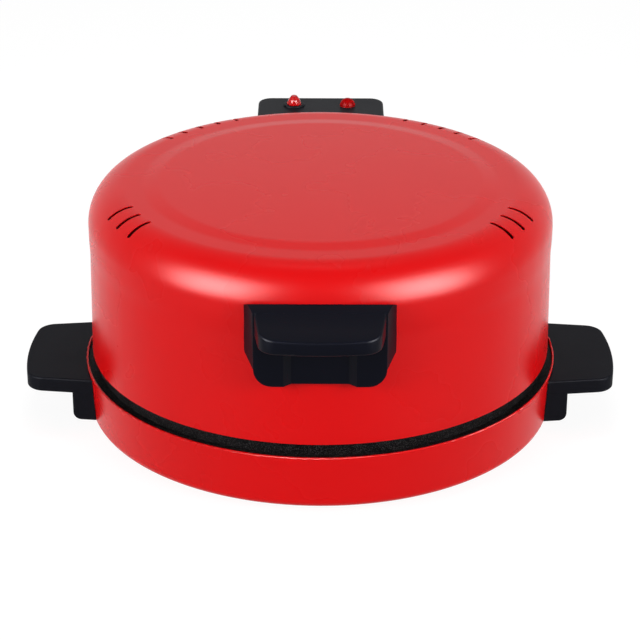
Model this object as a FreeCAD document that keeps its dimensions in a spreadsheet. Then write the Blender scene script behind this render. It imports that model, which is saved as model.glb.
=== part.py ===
import FreeCAD, Part
import math
import os
import Sketcher
from types import SimpleNamespace

os.makedirs("parts", exist_ok=True)

Vector = FreeCAD.Vector
Rotation = FreeCAD.Rotation
Placement = FreeCAD.Placement

# Driving dimensions, in millimetres and degrees. Heights are measured from the worktop.
SIZES = {
    # Base
    "foot_height": 8.2,
    "base_bottom": 6.0,
    "rim_height": 49.3,
    "base_high_radius": 185.0,
    "base_taper": 2.0,
    "base_bottom_round": 6.0,
    "bead_radius": 0.8,
    "bead_stand": 0.3,
    "base_wall": 0.8,
    "base_step_inset": 17.0,
    "base_flange_width": 16.0,
    # Bottom cover and feet
    "cover_inset": 2.0,
    "cover_thickness": 0.8,
    "cover_screw_inset": 6.5,
    "cover_screw_grip": 4.0,
    "foot_inset": 24.0,
    "foot_radius": 12.0,
    "foot_low_radius": 10.5,
    "foot_recess_radius": 5.0,
    "foot_recess_depth": 4.0,
    # Cooking plate and what carries it
    "plate_drop": 4.1,
    "plate_thickness": 4.0,
    "plate_setback": 8.5,
    "plate_rim_wall": 3.0,
    "plate_rim_rise": 16.8,
    "plate_flange_thickness": 2.5,
    "plate_flange_drop": 0.5,
    "plate_underside_inset": 5.0,
    "ring_height": 9.0,
    "ring_thickness": 1.0,
    "ring_width": 7.0,
    "seat_gap": 0.3,
    # Lower reflector
    "reflector_wall": 0.6,
    "reflector_setback": 2.1,
    "reflector_slope_run": 24.4,
    "reflector_depth": 20.1,
    "reflector_wall_depth": 10.1,
    "reflector_flange_width": 6.6,
    # Heating elements
    "element_tube_radius": 3.3,
    "lower_ring_radius": 112.0,
    "upper_ring_setback": 23.0,
    "element_end_spacing": 30.0,
    "element_bend_radius": 14.0,
    "element_seat_gap": 0.1,
    "lower_element_inset": 32.4,
    "strap_thickness": 1.2,
    "strap_width": 12.0,
    "strap_screw_offset": 9.5,
    "strap_margin": 1.0,
    "boss_radius": 4.0,
    "terminal_ceramic_radius": 3.3,
    "terminal_ceramic_length": 8.0,
    "terminal_pin_radius": 1.5,
    "terminal_pin_length": 9.0,
    # Screws
    "screw_radius": 1.75,
    "screw_head_radius": 3.6,
    "screw_head_height": 2.0,
    "screw_clearance": 0.05,
    "screw_bore_spare": 1.0,
    "screw_bore_roof": 0.5,
    # Thermostat and thermal fuse
    "thermostat_offset": 52.0,
    "thermostat_cap_radius": 8.0,
    "thermostat_cap_height": 6.0,
    "thermostat_body_radius": 6.9,
    "thermostat_body_height": 7.0,
    "thermostat_tab_width": 6.3,
    "thermostat_tab_length": 6.0,
    "thermostat_tab_thickness": 0.8,
    "thermostat_hole_gap": 2.0,
    "small_bracket_reach": 20.0,
    "fuse_radius": 4.0,
    "fuse_length": 22.0,
    "centre_boss_radius": 8.0,
    "centre_boss_length": 6.0,
    "stud_radius": 3.0,
    "stud_tail": 1.0,
    "nut_width": 10.0,
    "nut_height": 4.5,
    # Lid
    "lid_setback": 5.0,
    "lid_overlap": 4.6,
    "lid_waist_inset": 1.4,
    "lid_waist_rise": 83.6,
    "lid_crest_swell": 0.65,
    "lid_crest_rise": 9.0,
    "lid_shoulder_rise": 12.0,
    "lid_shoulder_radius": 29.3,
    "plateau_inset": 42.25,
    "plateau_slope_run": 12.0,
    "plateau_rise": 1.5,
    "lid_wall": 0.7,
    # Vent slots in the lid's shoulder
    "slot_width": 2.4,
    "slot_outer_inset": 8.25,
    "slot_length": 21.5,
    "slot_pitch": 6.35,
    "front_slot_first": 21.2,
    "rear_slot_first": 37.5,
    # Lid liner
    "liner_gap": 0.3,
    "liner_wall": 0.5,
    "liner_lip_reach": 4.0,
    "liner_lip_gap": 0.4,
    "liner_drop": 23.3,
    "liner_slope_run": 43.6,
    "upper_element_drop": 18.0,
    "upper_element_overhang": 5.4,
    "hanger_width": 14.0,
    "hanger_tab": 10.0,
    "hanger_thickness": 1.2,
    "rivet_radius": 1.8,
    "rivet_head_radius": 3.4,
    "rivet_head_height": 1.0,
    # Side handles
    "handle_drop": 3.5,
    "handle_grip_thickness": 12.0,
    "handle_reach": 47.3,
    "handle_root_half": 55.5,
    "handle_tip_half": 48.4,
    "handle_root_depth": 15.0,
    "handle_corner": 15.0,
    "handle_leg_thickness": 7.7,
    "handle_leg_bottom": 11.2,
    "handle_leg_inset": 0.4,
    "handle_leg_round": 6.0,
    "handle_edge_round": 1.5,
    "handle_screw_angle": 9.5,
    "handle_screw_height": 26.0,
    "handle_screw_depth": 6.0,
    "wall_gap": 0.2,
    # Front lid handle
    "block_half": 54.2,
    "block_front_half": 47.3,
    "block_rise": 51.6,
    "block_height": 60.5,
    "block_stand": 11.1,
    "block_taper_inset": 8.1,
    "block_corner": 13.5,
    "block_side_rise": 19.0,
    "block_back_lean": 0.5,
    "block_depth_spare": 10.0,
    "panel_half": 26.0,
    "panel_floor_half": 20.5,
    "panel_depth": 5.0,
    "shelf_root_half": 50.5,
    "shelf_front_half": 42.0,
    "shelf_stand": 43.4,
    "shelf_corner": 14.0,
    "shelf_underside_drop": 21.4,
    "shelf_front_drop": 10.9,
    "shelf_slope_inset": 2.6,
    "shelf_edge_round": 2.0,
    "lid_handle_screw_angle": 9.0,
    "lid_handle_screw_height": 128.0,
    "lid_handle_screw_depth": 4.5,
    # Hinge
    "housing_depth": 37.0,
    "hinge_drop": 2.3,
    "barrel_radius": 10.0,
    "barrel_bore": 7.5,
    "barrel_half": 35.5,
    "barrel_end_wall": 3.0,
    "ear_gap": 0.5,
    "ear_width": 12.0,
    "ear_radius": 9.5,
    "pin_radius": 3.0,
    "hollow_pin_radius": 4.5,
    "hollow_pin_bore": 3.0,
    "pin_running_gap": 0.08,
    "pin_fixed_gap": 0.02,
    # Upper hinge housing
    "upper_half": 53.4,
    "upper_top_drop": 10.6,
    "upper_bottom_rise": 11.0,
    "upper_corner": 11.5,
    "upper_edge_round": 2.2,
    "housing_wall": 2.5,
    "pillar_radius": 4.5,
    "pillar_angle": 12.0,
    "pillar_low_height": 74.0,
    "pillar_high_height": 132.0,
    "pillar_screw_depth": 14.0,
    "wire_slot_half": 12.0,
    "wire_slot_inset": 1.0,
    # Lower hinge housing
    "lower_half": 50.0,
    "lower_top_drop": 11.6,
    "lower_bottom": 9.4,
    "lower_corner": 7.0,
    "lower_cover_screw_length": 14.0,
    "lower_front_wall": 1.7,
    "lower_pillar_angle": 8.0,
    "lower_pillar_height": 26.0,
    "lower_pillar_length": 12.0,
    "lower_pillar_tip": 3.0,
    "cover_boss_radius": 3.5,
    "cover_boss_side": 5.5,
    "cover_boss_depth": 24.0,
    "channel_width": 6.0,
    # Cord entry, wiring and terminals
    "gland_x": 20.0,
    "gland_height": 21.0,
    "gland_bore": 3.8,
    "gland_body_radius": 6.2,
    "gland_flange_radius": 9.0,
    "gland_flange": 2.0,
    "gland_length": 14.0,
    "grommet_height": 20.0,
    "grommet_radius": 5.0,
    "grommet_bore": 3.0,
    "terminal_length": 22.0,
    "terminal_width": 12.0,
    "terminal_height": 12.0,
    "terminal_back_gap": 4.5,
    "wire_radius": 1.3,
    "wire_spacing": 3.0,
    "wire_bend": 9.0,
    "wire_entry_run": 4.5,
    "wire_hole_radius": 3.4,
    "wire_rise_inset": 17.0,
    "wire_low_rise": 9.0,
    "bundle_radius": 2.0,
    "bundle_bend": 4.5,
    "bundle_start": 14.0,
    "bundle_drop": 3.4,
    "wire_pitch": 6.0,
    "lid_wire_rise": 34.0,
    "terminal_screw_radius": 1.5,
    "terminal_screw_height": 1.2,
    # Pilot lamps
    "lamp_spacing": 45.6,
    "lamp_inset": 20.0,
    "lamp_body_radius": 5.6,
    "lamp_body_depth": 16.0,
    "lamp_flange_height": 1.6,
    "lamp_bezel_radius": 9.1,
    "lens_radius": 6.2,
    "lens_height": 9.0,
    "lens_collar_height": 0.8,
    "lens_tip_radius": 2.4,
    "dome_radius": 6.6,
    "dome_height": 6.5,
    # Fit between a lamp or gland and its hole, and how far a cutter runs past the face that it cuts
    "fit_gap": 0.05,
    "cut_spare": 1.0,
}

doc = FreeCAD.newDocument("roti_maker")
sheet = doc.addObject("Spreadsheet::Sheet", "Sizes")


class Size:
    """A number that remembers the sheet expression it came from."""

    def __init__(self, value, text):
        self.value = value
        self.text = text

    def __add__(self, other):
        return combine(self, other, "+", self.value + number(other))

    def __radd__(self, other):
        return combine(other, self, "+", number(other) + self.value)

    def __sub__(self, other):
        return combine(self, other, "-", self.value - number(other))

    def __rsub__(self, other):
        return combine(other, self, "-", number(other) - self.value)

    def __mul__(self, other):
        return combine(self, other, "*", self.value * number(other))

    def __rmul__(self, other):
        return combine(other, self, "*", number(other) * self.value)

    def __truediv__(self, other):
        return combine(self, other, "/", self.value / number(other))

    def __neg__(self):
        return combine(0.0, self, "-", -self.value)


def number(item):
    """The plain number of a Size or of a number."""
    if isinstance(item, Size):
        return item.value
    return float(item)


def wording(item):
    """The sheet expression of a Size or of a number."""
    if isinstance(item, Size):
        return item.text
    return repr(float(item))


def combine(left, right, sign, value):
    text = "(" + wording(left) + " " + sign + " " + wording(right) + ")"
    return Size(value, text)


def root(item):
    """Square root of a Size."""
    return Size(math.sqrt(item.value), "sqrt(" + item.text + ")")


for row, (alias, amount) in enumerate(SIZES.items(), start=1):
    sheet.set("A%d" % row, alias)
    sheet.set("B%d" % row, str(amount))
    sheet.setAlias("B%d" % row, alias)
doc.recompute()
d = SimpleNamespace(**{alias: Size(amount, "Sizes." + alias) for alias, amount in SIZES.items()})


# Helpers that bind document objects to the sheet

def bind(item, name, amount):
    """Binds one property of an object to a Size."""
    item.setExpression(name, wording(amount))


def place(item, x, y, z, rotation=None):
    """Puts an object at a point given by Sizes or numbers, turned by a rotation."""
    turn = rotation or Rotation()
    item.Placement = Placement(Vector(number(x), number(y), number(z)), turn)
    for axis, amount in (("x", x), ("y", y), ("z", z)):
        if isinstance(amount, Size):
            bind(item, "Placement.Base." + axis, amount)
    return item


ALONG_X = Rotation(Vector(0, 1, 0), 90)
ALONG_Y = Rotation(Vector(1, 0, 0), -90)
ALONG_Z = Rotation()


def cylinder(name, radius, length, x, y, z, rotation=ALONG_Z):
    item = doc.addObject("Part::Cylinder", name)
    bind(item, "Radius", radius)
    bind(item, "Height", length)
    return place(item, x, y, z, rotation)


def cone(name, low_radius, high_radius, length, x, y, z, rotation=ALONG_Z):
    item = doc.addObject("Part::Cone", name)
    bind(item, "Radius1", low_radius)
    bind(item, "Radius2", high_radius)
    bind(item, "Height", length)
    return place(item, x, y, z, rotation)


def box(name, x_range, y_range, z_range):
    """A box between two Sizes along each axis."""
    item = doc.addObject("Part::Box", name)
    bind(item, "Length", x_range[1] - x_range[0])
    bind(item, "Width", y_range[1] - y_range[0])
    bind(item, "Height", z_range[1] - z_range[0])
    return place(item, x_range[0], y_range[0], z_range[0])


def radial_cylinder(name, radius, inner, outer, angle, height):
    """A cylinder that points out from the body axis, between two distances, at an angle from +X."""
    item = doc.addObject("Part::Cylinder", name)
    bind(item, "Radius", radius)
    bind(item, "Height", outer - inner)
    turn = Rotation(Vector(0, 0, 1), number(angle)) * ALONG_X
    across = math.cos(math.radians(number(angle)))
    along = math.sin(math.radians(number(angle)))
    item.Placement = Placement(Vector(number(inner) * across, number(inner) * along, number(height)), turn)
    return item


def fuse(name, items):
    item = doc.addObject("Part::MultiFuse", name)
    item.Shapes = items
    item.Refine = True
    return item


def cut(name, base, tools):
    """The base with one tool, or a fused set of tools, taken away."""
    item = doc.addObject("Part::Cut", name)
    item.Base = base
    item.Tool = tools[0] if len(tools) == 1 else gather(name + "_cutters", tools)
    return item


def common(name, first, second):
    item = doc.addObject("Part::MultiCommon", name)
    item.Shapes = [first, second]
    return item


def gather(name, items):
    """Separate solids held together as one object."""
    item = doc.addObject("Part::Compound", name)
    item.Links = items
    return item


def turned_copy(name, source, angle):
    """The same object turned about the body axis."""
    item = doc.addObject("Part::Compound", name)
    item.Links = [source]
    item.Placement = Placement(Vector(), Rotation(Vector(0, 0, 1), number(angle)))
    return item


def origin_plane(body, role):
    return [item for item in body.Origin.OriginFeatures if item.Role == role][0]


def arc_centre(start, end, radius, side):
    """Centre of the arc from start to end; side +1 turns left on the way and -1 turns right."""
    middle = (start + end) * 0.5
    chord = end - start
    half = chord.Length / 2
    rise = math.sqrt(max(radius * radius - half * half, 0.0))
    across = Vector(-chord.y, chord.x, 0).normalize()
    return middle + across * rise * side


def outline(body, role, name, points, offset=None):
    """A closed sketch. Each point is (x, y), or (x, y, radius, side) where an arc ends there."""
    sketch = body.newObject("Sketcher::SketchObject", name)
    sketch.AttachmentSupport = [(origin_plane(body, role), "")]
    sketch.MapMode = "FlatFace"
    if offset is not None:
        sketch.AttachmentOffset = Placement(Vector(0, 0, number(offset)), Rotation())
        bind(sketch, "AttachmentOffset.Base.z", offset)
    ends = []
    for index, point in enumerate(points):
        start = Vector(number(points[index - 1][0]), number(points[index - 1][1]), 0)
        end = Vector(number(point[0]), number(point[1]), 0)
        if len(point) == 2:
            sketch.addGeometry(Part.LineSegment(start, end))
            ends.append((1, 2))
            continue
        side = point[3]
        centre = arc_centre(start, end, number(point[2]), side)
        first, last = (start, end) if side > 0 else (end, start)
        circle = Part.Circle(centre, Vector(0, 0, 1), number(point[2]))
        angles = [math.atan2(spot.y - centre.y, spot.x - centre.x) for spot in (first, last)]
        sketch.addGeometry(Part.ArcOfCircle(circle, angles[0], angles[1]))
        ends.append((1, 2) if side > 0 else (2, 1))
    for index, point in enumerate(points):
        following = (index + 1) % len(points)
        join = Sketcher.Constraint("Coincident", index, ends[index][1], following, ends[following][0])
        sketch.addConstraint(join)
        for kind, amount in (("DistanceX", point[0]), ("DistanceY", point[1])):
            rule = Sketcher.Constraint(kind, -1, 1, index, ends[index][1], number(amount))
            bind_constraint(sketch, sketch.addConstraint(rule), amount)
        if len(point) > 2:
            rule = Sketcher.Constraint("Radius", index, number(point[2]))
            bind_constraint(sketch, sketch.addConstraint(rule), point[2])
    return sketch


def bind_constraint(sketch, index, amount):
    if isinstance(amount, Size):
        bind(sketch, "Constraints[%d]" % index, amount)


def turned_body(name, points):
    """A body turned about the vertical axis from an outline of (radius, height) points."""
    body = doc.addObject("PartDesign::Body", name)
    sketch = outline(body, "XZ_Plane", name + "_outline", points)
    feature = body.newObject("PartDesign::Revolution", name + "_turn")
    feature.Profile = sketch
    feature.ReferenceAxis = (sketch, ["V_Axis"])
    feature.Angle = 360
    body.Tip = feature
    return body


def padded_body(name, role, points, start, length):
    """A body padded from an outline, from a start along the plane's axis and over a length."""
    body = doc.addObject("PartDesign::Body", name)
    backwards = role == "XZ_Plane"
    offset = -start if backwards else start
    sketch = outline(body, role, name + "_outline", points, offset)
    feature = body.newObject("PartDesign::Pad", name + "_pad")
    feature.Profile = sketch
    feature.Reversed = backwards
    bind(feature, "Length", length)
    body.Tip = feature
    return body


def round_edges(body, name, radius, wanted):
    """Rounds the edges of a body that a test picks out."""
    doc.recompute()
    base = body.Tip
    names = ["Edge%d" % (index + 1) for index, edge in enumerate(base.Shape.Edges) if wanted(edge)]
    feature = body.newObject("PartDesign::Fillet", name)
    feature.Base = (base, names)
    bind(feature, "Radius", radius)
    body.Tip = feature
    return feature


def upright_at(x, y):
    """Test for an upright edge near a point in plan."""
    def wanted(edge):
        ends = [vertex.Point for vertex in edge.Vertexes]
        if len(ends) != 2 or (ends[0] - ends[1]).cross(Vector(0, 0, 1)).Length > 1e-6:
            return False
        return abs(ends[0].x - number(x)) < 0.01 and abs(ends[0].y - number(y)) < 0.01
    return wanted


def level_at(height, direction, limit):
    """Test for an edge that lies level at a height, past a limit along a direction."""
    def wanted(edge):
        bounds = edge.BoundBox
        middle = edge.valueAt((edge.FirstParameter + edge.LastParameter) / 2)
        if abs(bounds.ZMin - number(height)) > 0.01 or abs(bounds.ZMax - number(height)) > 0.01:
            return False
        return middle.dot(direction) > number(limit)
    return wanted


def either(*tests):
    return lambda edge: any(test(edge) for test in tests)


def solid_feature(name, shape):
    item = doc.addObject("Part::Feature", name)
    item.Shape = shape
    return item


# Screws: a pan head on a shank. The head's underside is at the origin and the shank points along +Z.

def pan_screw(name, length):
    head = cylinder(name + "_head", d.screw_head_radius, d.screw_head_height, 0, 0, -d.screw_head_height)
    shank = cylinder(name + "_shank", d.screw_radius, length, 0, 0, 0)
    return fuse(name, [head, shank])


def upright_screw(name, length, x, y, z, up=True):
    item = pan_screw(name, length)
    turn = Rotation() if up else Rotation(Vector(1, 0, 0), 180)
    return place(item, x, y, z, turn)


def radial_screw(name, length, distance, angle, height, inwards=False):
    """A screw whose head sits at a distance from the axis and whose shank points out, or in."""
    item = pan_screw(name, length)
    turn = Rotation(Vector(0, 0, 1), number(angle)) * ALONG_X
    if inwards:
        turn = Rotation(Vector(0, 0, 1), number(angle) + 180) * ALONG_X
    across = number(distance) * math.cos(math.radians(number(angle)))
    along = number(distance) * math.sin(math.radians(number(angle)))
    item.Placement = Placement(Vector(across, along, number(height)), turn)
    return item


def ring_point(radius, angle):
    """Sizes for the x and y of a point on a circle about the axis."""
    across = radius * math.cos(math.radians(number(angle)))
    along = radius * math.sin(math.radians(number(angle)))
    return across, along


bore_radius = d.screw_radius + d.screw_clearance
REAR = 90
FRONT = 270
QUARTERS = {"front_left": 225, "front_right": 315, "rear_left": 135, "rear_right": 45}
THIRDS = (30, 150, 270)
SIDES = (-1, 1)
FRONT_SLOTS = 3
REAR_SLOTS = 5
LENS_FACETS = 8
TERMINALS = 3
# Share of the shorter run that a wire's bend may take at each corner
RUN_SHARE = 0.45
TO_RIGHT = Vector(1, 0, 0)
TO_BACK = Vector(0, 1, 0)


# Radii that follow from the base wall, and heights that follow from its rim

base_low_radius = d.base_high_radius - d.base_taper
base_step_radius = base_low_radius - d.base_step_inset
base_flange_radius = base_step_radius - d.base_flange_width
cover_radius = base_step_radius - d.cover_inset
plate_rim_radius = d.base_high_radius - d.plate_setback
reflector_radius = plate_rim_radius - d.reflector_setback
lid_edge_radius = d.base_high_radius - d.lid_setback
lid_waist_radius = lid_edge_radius - d.lid_waist_inset
lid_crest_radius = lid_waist_radius + d.lid_crest_swell
rear_reach = d.base_high_radius + d.housing_depth
hinge_back = rear_reach - d.barrel_radius
lower_back = rear_reach - d.gland_flange

plate_top = d.rim_height - d.plate_drop
plate_under = plate_top - d.plate_thickness
plate_rim_top = plate_top + d.plate_rim_rise
lid_edge_height = plate_rim_top - d.lid_overlap
lid_waist_height = lid_edge_height + d.lid_waist_rise
lid_crest_height = lid_waist_height + d.lid_crest_rise
lid_shoulder_start = lid_crest_height + d.lid_shoulder_rise
band_top = lid_shoulder_start + d.lid_shoulder_radius
hinge_height = d.rim_height - d.hinge_drop


# Base shell

bead_height = d.rim_height - d.bead_radius


def wall_radius_at(height):
    """Outer radius of the base wall at a height."""
    start = d.base_bottom + d.base_bottom_round
    climb = d.base_high_radius - base_low_radius
    return base_low_radius + climb * ((height - start) / (bead_height - start))


inner_round = d.base_bottom_round - d.base_wall
flange_under = d.foot_height + d.cover_thickness
step_rise = flange_under - d.base_bottom
corner_radius = base_low_radius - d.base_bottom_round
base_turn = turned_body("base_turned", [
    (base_flange_radius, flange_under),
    (base_step_radius, flange_under),
    (base_step_radius + step_rise, d.base_bottom),
    (corner_radius, d.base_bottom),
    (base_low_radius, d.base_bottom + d.base_bottom_round, d.base_bottom_round, 1),
    (d.base_high_radius, bead_height),
    (d.base_high_radius - d.base_wall, bead_height),
    (base_low_radius - d.base_wall, d.base_bottom + d.base_bottom_round),
    (corner_radius, d.base_bottom + d.base_wall, inner_round, -1),
    (base_step_radius + step_rise + d.base_wall / 2, d.base_bottom + d.base_wall),
    (base_step_radius + d.base_wall / 2, flange_under + d.base_wall),
    (base_flange_radius, flange_under + d.base_wall),
])
bead = doc.addObject("Part::Torus", "rim_bead")
bead_circle = d.base_high_radius + d.bead_stand - d.bead_radius
bind(bead, "Radius1", bead_circle)
bind(bead, "Radius2", d.bead_radius)
place(bead, 0, 0, bead_height)
base_blank = fuse("base_blank", [base_turn, bead])


# What passes through the base wall and its bottom flange

handle_screw_angles = [number(base) + side * number(d.handle_screw_angle) for base in (0, 180) for side in SIDES]
lower_pillar_angles = [REAR + side * number(d.lower_pillar_angle) for side in SIDES]
through_inner = base_low_radius - d.base_wall - d.wall_gap - d.cut_spare
through_outer = d.base_high_radius + d.cut_spare
base_cutters = []
for index, angle in enumerate(handle_screw_angles):
    base_cutters.append(radial_cylinder("handle_screw_hole_%d" % index, bore_radius, through_inner, through_outer,
                                        angle, d.handle_screw_height))
for index, angle in enumerate(lower_pillar_angles):
    base_cutters.append(radial_cylinder("housing_screw_hole_%d" % index, bore_radius, through_inner, through_outer,
                                        angle, d.lower_pillar_height))
grommet_outer = d.grommet_radius + d.fit_gap
base_cutters.append(radial_cylinder("grommet_hole", grommet_outer, through_inner, through_outer, REAR,
                                    d.grommet_height))
cover_screw_circle = cover_radius - d.cover_screw_inset
for index, angle in enumerate(QUARTERS.values()):
    x, y = ring_point(cover_screw_circle, angle)
    hole = cylinder("cover_screw_hole_%d" % index, bore_radius, d.base_wall + d.cut_spare * 2, x, y,
                    flange_under - d.cut_spare)
    base_cutters.append(hole)
base_shell = cut("base_shell", base_blank, base_cutters)


# Bottom cover, its screws, the feet and the centre stud

cover_low = d.foot_height
cover_disc = cylinder("cover_disc", cover_radius, d.cover_thickness, 0, 0, cover_low)
hole_low = cover_low - d.cut_spare
hole_height = d.cover_thickness + d.cut_spare * 2
cover_cutters = [cylinder("cover_stud_hole", d.stud_radius + d.fit_gap, hole_height, 0, 0, hole_low)]
cover_screws = []
foot_screws = []
foot_nuts = []
foot_nodes = []
foot_top = cover_low
foot_circle = base_flange_radius - d.foot_inset
cover_screw_length = d.cover_thickness + d.base_wall + d.cover_screw_grip
foot_seat = d.foot_recess_depth
foot_screw_length = foot_top - foot_seat + d.cover_thickness + d.nut_height + d.base_wall


def hex_nut(name, bore, x, y, z):
    """A hexagonal nut with its lower face at a height."""
    blank = doc.addObject("Part::Prism", name + "_blank")
    blank.Polygon = 6
    bind(blank, "Circumradius", d.nut_width / math.sqrt(3))
    bind(blank, "Height", d.nut_height)
    place(blank, x, y, z)
    hole = cylinder(name + "_bore", bore, d.nut_height + d.cut_spare * 2, x, y, z - d.cut_spare)
    return cut(name, blank, [hole])


for label, angle in QUARTERS.items():
    x, y = ring_point(cover_screw_circle, angle)
    cover_cutters.append(cylinder("cover_hole_" + label, bore_radius, hole_height, x, y, hole_low))
    cover_screws.append(upright_screw("cover_screw_" + label, cover_screw_length, x, y, cover_low))
    x, y = ring_point(foot_circle, angle)
    cover_cutters.append(cylinder("foot_hole_" + label, bore_radius, hole_height, x, y, hole_low))
    foot_blank = cone("foot_blank_" + label, d.foot_low_radius, d.foot_radius, foot_top, x, y, 0)
    foot_recess = cylinder("foot_recess_" + label, d.foot_recess_radius, d.foot_recess_depth + d.cut_spare, x, y,
                           -d.cut_spare)
    foot_bore = cylinder("foot_bore_" + label, bore_radius, foot_top + d.cut_spare, x, y, 0)
    foot_nodes.append(cut("foot_" + label, foot_blank, [fuse("foot_hole_shape_" + label, [foot_recess, foot_bore])]))
    foot_screws.append(upright_screw("foot_screw_" + label, foot_screw_length, x, y, foot_seat))
    foot_nuts.append(hex_nut("foot_nut_" + label, bore_radius, x, y, flange_under))
base_bottom_cover = cut("base_bottom_cover", cover_disc, cover_cutters)

stud_top = plate_under - d.fit_gap * 2
stud_bottom = cover_low - d.nut_height - d.stud_tail
boss_bottom = plate_under - d.centre_boss_length
centre_stud = cylinder("centre_stud", d.stud_radius, stud_top - stud_bottom, 0, 0, stud_bottom)
centre_nut = hex_nut("centre_nut", d.stud_radius + d.screw_clearance, 0, 0, cover_low - d.nut_height)


# Cooking plate: a cast disc with an upstanding rim, a flange that hangs in the base and bosses underneath

ring_top = plate_top - d.reflector_wall - d.plate_flange_drop
plate_flange_low = ring_top + d.reflector_wall
bead_inner = bead_circle - d.bead_radius
plate_flange_radius = bead_inner - d.seat_gap
plate_inner = plate_rim_radius - d.plate_rim_wall
plate_underside_radius = plate_rim_radius - d.plate_underside_inset
floor_round = d.plate_rim_wall
plate_turned = turned_body("plate_turned", [
    (0, plate_under),
    (plate_underside_radius, plate_under),
    (plate_underside_radius, plate_flange_low),
    (plate_flange_radius, plate_flange_low),
    (plate_flange_radius, plate_flange_low + d.plate_flange_thickness),
    (plate_rim_radius, plate_flange_low + d.plate_flange_thickness),
    (plate_rim_radius, plate_rim_top - d.plate_rim_wall / 2),
    (plate_inner + d.plate_rim_wall / 2, plate_rim_top, d.plate_rim_wall / 2, 1),
    (plate_inner, plate_rim_top - d.plate_rim_wall / 2, d.plate_rim_wall / 2, 1),
    (plate_inner, plate_top + floor_round),
    (plate_inner - floor_round, plate_top, floor_round, -1),
    (0, plate_top),
])

strap_top = plate_under - d.element_seat_gap - d.element_tube_radius * 2 - d.element_seat_gap
strap_low = strap_top - d.strap_thickness
thermostat_seat = plate_under - d.element_seat_gap - d.thermostat_cap_height
bracket_top = thermostat_seat - d.element_seat_gap
fuse_strap_top = plate_under - d.seat_gap - d.fuse_radius * 2 - d.element_seat_gap
small_boss_x = d.thermostat_offset + d.small_bracket_reach
bosses = []
for angle in THIRDS:
    for side in SIDES:
        x, y = ring_point(d.lower_ring_radius + side * d.strap_screw_offset, angle)
        bosses.append((x, y, strap_top))
bosses.append((small_boss_x, 0, bracket_top))
bosses.append((-small_boss_x, 0, fuse_strap_top))
plate_bosses = []
plate_bores = []
screw_room = plate_under - d.screw_bore_roof
boss_top = plate_under + d.plate_thickness / 4
for index, (x, y, low) in enumerate(bosses):
    plate_bosses.append(cylinder("boss_%d" % index, d.boss_radius, boss_top - low, x, y, low))
    plate_bores.append(cylinder("boss_bore_%d" % index, bore_radius, screw_room - low + d.cut_spare, x, y,
                                low - d.cut_spare))
plate_bosses.append(cylinder("centre_boss", d.centre_boss_radius, boss_top - boss_bottom, 0, 0, boss_bottom))
plate_bores.append(cylinder("stud_bore", d.stud_radius + d.fit_gap, plate_under - boss_bottom + d.cut_spare, 0, 0,
                            boss_bottom - d.cut_spare))
plate_blank = fuse("plate_blank", [plate_turned] + plate_bosses)
cooking_plate = cut("cooking_plate", plate_blank, plate_bores)


# Support ring: an angle-section ring inside the base wall that carries the reflector and the plate

ring_low = ring_top - d.ring_height
ring_outer = wall_radius_at(ring_low) - d.base_wall - d.seat_gap
ring_inner_radius = ring_outer - d.ring_width
plate_support_ring = turned_body("plate_support_ring", [
    (ring_outer - d.ring_thickness, ring_low),
    (ring_outer, ring_low),
    (ring_outer, ring_top),
    (ring_inner_radius, ring_top),
    (ring_inner_radius, ring_top - d.ring_thickness),
    (ring_outer - d.ring_thickness, ring_top - d.ring_thickness),
])


# Lower reflector: a dish that hangs on the support ring under the plate

dish_inner = reflector_radius - d.reflector_wall
reflector_floor_radius = reflector_radius - d.reflector_slope_run
reflector_flange_radius = reflector_radius + d.reflector_flange_width
reflector_floor = ring_top - d.reflector_depth
reflector_cone_top = ring_top - d.reflector_wall_depth
dish_turned = turned_body("dish_turned", [
    (0, reflector_floor),
    (reflector_floor_radius, reflector_floor),
    (reflector_radius, reflector_cone_top),
    (reflector_radius, ring_top),
    (reflector_flange_radius, ring_top),
    (reflector_flange_radius, ring_top + d.reflector_wall),
    (dish_inner, ring_top + d.reflector_wall),
    (dish_inner, reflector_cone_top + d.reflector_wall),
    (reflector_floor_radius - d.reflector_wall, reflector_floor + d.reflector_wall),
    (0, reflector_floor + d.reflector_wall),
])
dish_hole_low = reflector_floor - d.cut_spare
dish_hole_height = d.reflector_wall + d.cut_spare * 2
wire_rise_back = base_low_radius - d.wire_rise_inset
dish_holes = [
    cylinder("dish_stud_hole", d.stud_radius + d.seat_gap, dish_hole_height, 0, 0, dish_hole_low),
    cylinder("dish_thermostat_hole", d.thermostat_cap_radius + d.thermostat_hole_gap, dish_hole_height,
             d.thermostat_offset, 0, dish_hole_low),
]
for side in SIDES:
    dish_holes.append(cylinder("dish_wire_hole_%d" % (side + 1), d.wire_hole_radius, ring_top - reflector_floor,
                               side * d.element_end_spacing / 2, wire_rise_back, dish_hole_low))
lower_reflector = cut("lower_reflector", dish_turned, dish_holes)


# Heating elements: an open ring whose two ends run straight to the rear

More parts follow.
